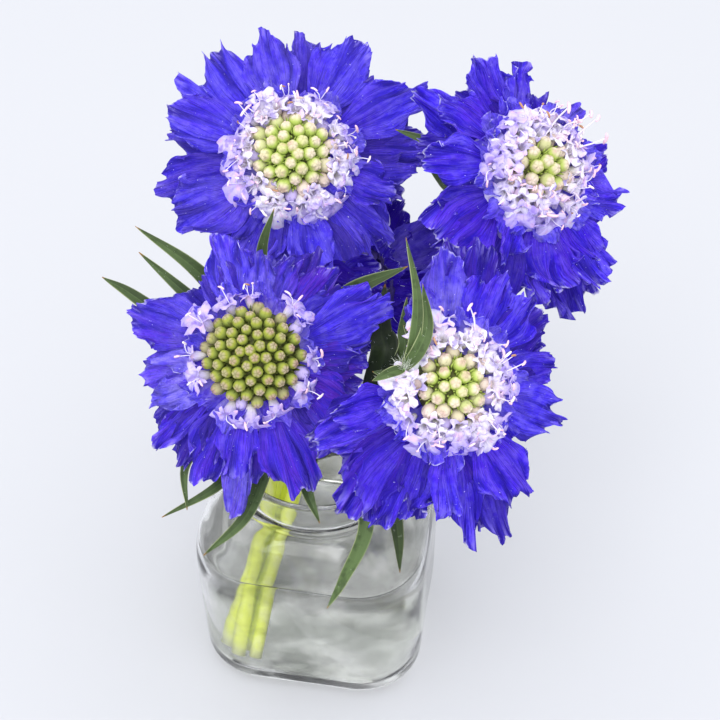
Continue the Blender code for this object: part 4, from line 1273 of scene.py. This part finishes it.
def stemMaterial():
    look = stemLook
    material, tree = newMaterial("stem", Roughness=0.4, Specular_IOR_Level=0.45)
    place = addNode(tree, "ShaderNodeTexCoord").outputs["Object"]
    height = addNode(tree, "ShaderNodeSeparateXYZ", {0: place}).outputs["Z"]
    below = spread(tree, height, *look["litBelow"], 0.0, 1.0)
    streak = noiseAt(tree, 300.0, 3.0, 0.5, (1, 1, 0.12))
    # painted light: the part of the stem inside the jar is lighter, with pale streaks
    body = layered(tree, look, look["green"], [
        ("lit", below),
        ("pale", product(tree, spread(tree, streak, 0.4, 0.75, 0.8), below)),
        ("pale", "along", 0.0, 0.02, 0.0, 0.9),
    ])
    return finish(material, body, streak, *look["bump"])


# The jar and its water.

jarLook = {
    "turn": math.radians(-10),
    "halfWidth": 35 * mm,
    "corner": 20 * mm,
    "bodyHeight": 50 * mm,
    "shoulderHeight": 64 * mm,
    "neckRadius": 25.2 * mm,
    "mouthHeight": 76 * mm,
    "wall": 1.8 * mm,
    "floor": 5 * mm,
    "sides": 112,
    "steps": 5,
    "waviness": 0.12 * mm,
    "waterSteps": 3,
    "wetting": 0.05 * mm,  # how far the water reaches into the glass
    "meniscus": 0.4 * mm,
    "seeds": (3, 4),
    "glass": {"colours": [(0.88, 0.89, 0.865), (0.995, 0.995, 0.99)], "noise": (40.0, 4.0, 0.6, (1, 1, 2.0)),
              "step": (0.38, 0.62), "relief": (38.0, 2.0), "strength": 0.4, "distance": 1.1 * mm,
              "Roughness": 0.07, "Transmission_Weight": 1.0, "IOR": 1.5},
    # the water's grey patches are painted shade, standing in for the shade of the flowers on the floor under the
    # jar
    "water": {"colours": [(0.47, 0.48, 0.45), (0.96, 0.965, 0.94)], "noise": (58.0, 3.0, 0.6, (1, 1, 1.2)),
              "step": (0.40, 0.62), "relief": (60.0, 1.0), "strength": 0.08, "distance": 0.5 * mm,
              "Roughness": 0.03, "Transmission_Weight": 1.0, "IOR": 1.333},
}


# Points round a square with round corners; a circle where the corner equals the half width.
def roundedSquare(half, corner, height):
    turn = np.linspace(0, math.tau, jarLook["sides"], endpoint=False)
    narrow, wide = np.sort(np.abs([np.cos(turn), np.sin(turn)]), axis=0)
    flat = half - corner
    both = flat * (wide + narrow)
    reach = np.where(narrow * half <= flat * wide, half / wide,
                     both + np.sqrt(np.maximum(0.0, both ** 2 - 2 * flat ** 2 + corner ** 2)))
    turn = turn + jarLook["turn"]
    return np.stack([reach * np.cos(turn), reach * np.sin(turn), np.full_like(turn, height)], axis=-1)


# A closed skin through rounded squares, smooth from one to the next. It lets light through to what it holds.
def loft(name, sections, steps, waviness, seed, node, material):
    smooth = smoothPath([Vector(section) for section in sections], steps)
    rings = np.array([roundedSquare(max(place.x, place.y), max(place.y, 0.1 * mm), place.z) for place in smooth])
    draw = random.Random(seed)
    turn = np.linspace(0, math.tau, rings.shape[1], endpoint=False)
    for _ in range(5):
        wave = draw.randint(1, 6) * turn[None, :] + rings[..., 2] * draw.uniform(60, 220) + draw.uniform(0, 6)
        level = np.linalg.norm(rings[..., :2], axis=2, keepdims=True) + 1e-9
        rings[..., :2] += waviness * 0.5 * np.sin(wave)[..., None] * rings[..., :2] / level
    index = pointNumbers(*rings.shape[:2], True)
    pile = Pile()
    pile.add(rings, [quadsBetween(index), [index[0, -2::-1]], [index[-1, :-1]]])
    made = pile.build(name)
    made.visible_shadow = False
    settle(made, node, material)


# Sections by their offsets in millimetres from a half width, a corner radius and a height.
def sections(half, corner, level, *offsets):
    return [(half + out * mm, corner + bend * mm, level + rise * mm) for out, bend, rise in offsets]


def insideSections(shrink, floor):
    half, corner = [jarLook[size] - jarLook["wall"] - shrink for size in ("halfWidth", "corner")]
    return (sections(half, corner, floor, (-3.5, -1.5, 0), (-1.0, -0.5, 1.6), (0, 0, 5))
            + sections(half, corner, jarLook["bodyHeight"], (0, 0, -10), (-0.5, 0, -1)))


def jar(material):
    look = jarLook
    half, corner, body, neck = look["halfWidth"], look["corner"], look["bodyHeight"], look["neckRadius"]
    top, shoulder, wall = look["mouthHeight"], look["shoulderHeight"], look["wall"]
    bore = neck - wall
    loft("glass_jar", (
        sections(half, corner, 0, (-5.5, -3.5, 0), (-2.2, -1.5, 1.4), (-0.6, -0.4, 4), (0, 0, 8))
        + sections(half, corner, body, (0, 0, -10), (-0.5, 0, -1), (-2.2, 0.6, 5), (-5.2, 2, 9.6))
        + sections(neck, neck, shoulder, (2.2, 0, -1.2), (0, 0, 0), (1.6, 1.6, 1.6), (1.6, 1.6, 3), (0, 0, 4.4))
        + sections(neck, neck, top, (0, 0, -0.8), (-0.8, -0.8, 0))
        + sections(bore, bore, top, (0.8, 0.8, 0), (0, 0, -0.8)) + [(bore, bore, shoulder)]
        + sections(half - wall, corner, body, (-5.4, 0, 8.2), (-2.3, 0, 4))
        + insideSections(0, look["floor"])[::-1]), look["steps"], look["waviness"],
        look["seeds"][0], "jar", material)


# Water that wets the glass and climbs it a little at its edge. Its grey patches are painted shade.
def water(material):
    look = jarLook
    wet = insideSections(-look["wetting"], look["floor"] - look["wetting"])
    half, corner, level = wet[-1]
    wet += [(half - inward * mm, corner - inward * mm, level + climb * look["meniscus"])
            for inward, climb in ((0, 1), (0.4, 0.8), (1.2, 0.25), (3, 0), (6, 0))]
    loft("water_body", wet, look["waterSteps"], 0.0, look["seeds"][1], "water", material)


# Floor, light and camera.

studio = {
    "floor": (0.502, 0.506, 0.523, 1),
    "floorGlow": 0.16,
    "floorSize": 6.0,
    "sky": (0.93, 0.95, 1.0, 1),
    "skyStrength": 1.44,
    "lens": 57.5,
    "cameraPlace": (0.0123, -0.2348, 0.3210),
    "cameraPitch": 48,
    "windowPlace": (-0.4, -1.3, 2.1),
    "windowSize": 1.7,
    "windowPower": 26.5,
}


def makeStudio():
    look, scene = studio, bpy.context.scene
    mesh = bpy.data.meshes.new("floor")
    wide = look["floorSize"] / 2
    corners = [(x * wide, y * wide, 0) for x, y in ((-1, -1), (1, -1), (1, 1), (-1, 1))]
    mesh.from_pydata(corners, [], [(0, 1, 2, 3)])
    floor = addObject("floor", mesh)
    floor.location.z = -0.05 * mm
    material, _ = newMaterial("paleFloor", Base_Color=look["floor"], Roughness=0.8, Specular_IOR_Level=0.1,
                              Emission_Color=look["floor"], Emission_Strength=look["floorGlow"])
    mesh.materials.append(material)
    scene.world = bpy.data.worlds.new("softRoom")
    scene.world.use_nodes = True
    background = scene.world.node_tree.nodes["Background"].inputs
    background["Color"].default_value = look["sky"]
    background["Strength"].default_value = look["skyStrength"]
    light = bpy.data.lights.new("window", "AREA")
    light.size, light.energy = look["windowSize"], look["windowPower"]
    lamp = addObject("window", light)
    lamp.location = look["windowPlace"]
    lamp.rotation_euler = (Vector((0, 0, 0.1)) - lamp.location).to_track_quat("-Z", "Y").to_euler()
    camera = addObject("camera", bpy.data.cameras.new("camera"))
    camera.data.lens, camera.data.sensor_width = look["lens"], 36
    camera.location = look["cameraPlace"]
    camera.rotation_euler = (math.radians(look["cameraPitch"]), 0, 0)
    scene.camera = camera
    scene.view_settings.view_transform = "Standard"
    print("studio ready")


kit = {
    "innerPetal": floretMaterial(),
    "stamen": stamenMaterial(),
    "headCore": mottled("headCore", **budLook["core"]),
    "leaf": leafMaterial(),
    "stem": stemMaterial(),
    "down": mottled("down", **leafLook["downLook"]),
    "buds": variants("bud", budLook["variants"], budLook["seed"], budShape),
    "innerFlorets": variants("innerFloret", *floretLook["inner"][:2], floretShape, floretLook["inner"][2]),
    "outerFlorets": variants("outerFloret", *floretLook["outer"][:2], floretShape, floretLook["outer"][2]),
    "stamens": variants("stamen", stamenLook["variants"], stamenLook["seed"], stamenShape),
}

for key, bloom in blooms.items():
    rayFlorets(key, bloom, petalMaterial("violetPetal_" + key, bloom["warmth"], bloom["paleToneAndLight"]))
    bloomCentre(key, bloom, kit)
    leafyStem(key, bloom, kit)
jar(mottled("jarGlass", **jarLook["glass"]))
water(mottled("clearWater", **jarLook["water"]))
print("jar and water ready")
makeStudio()
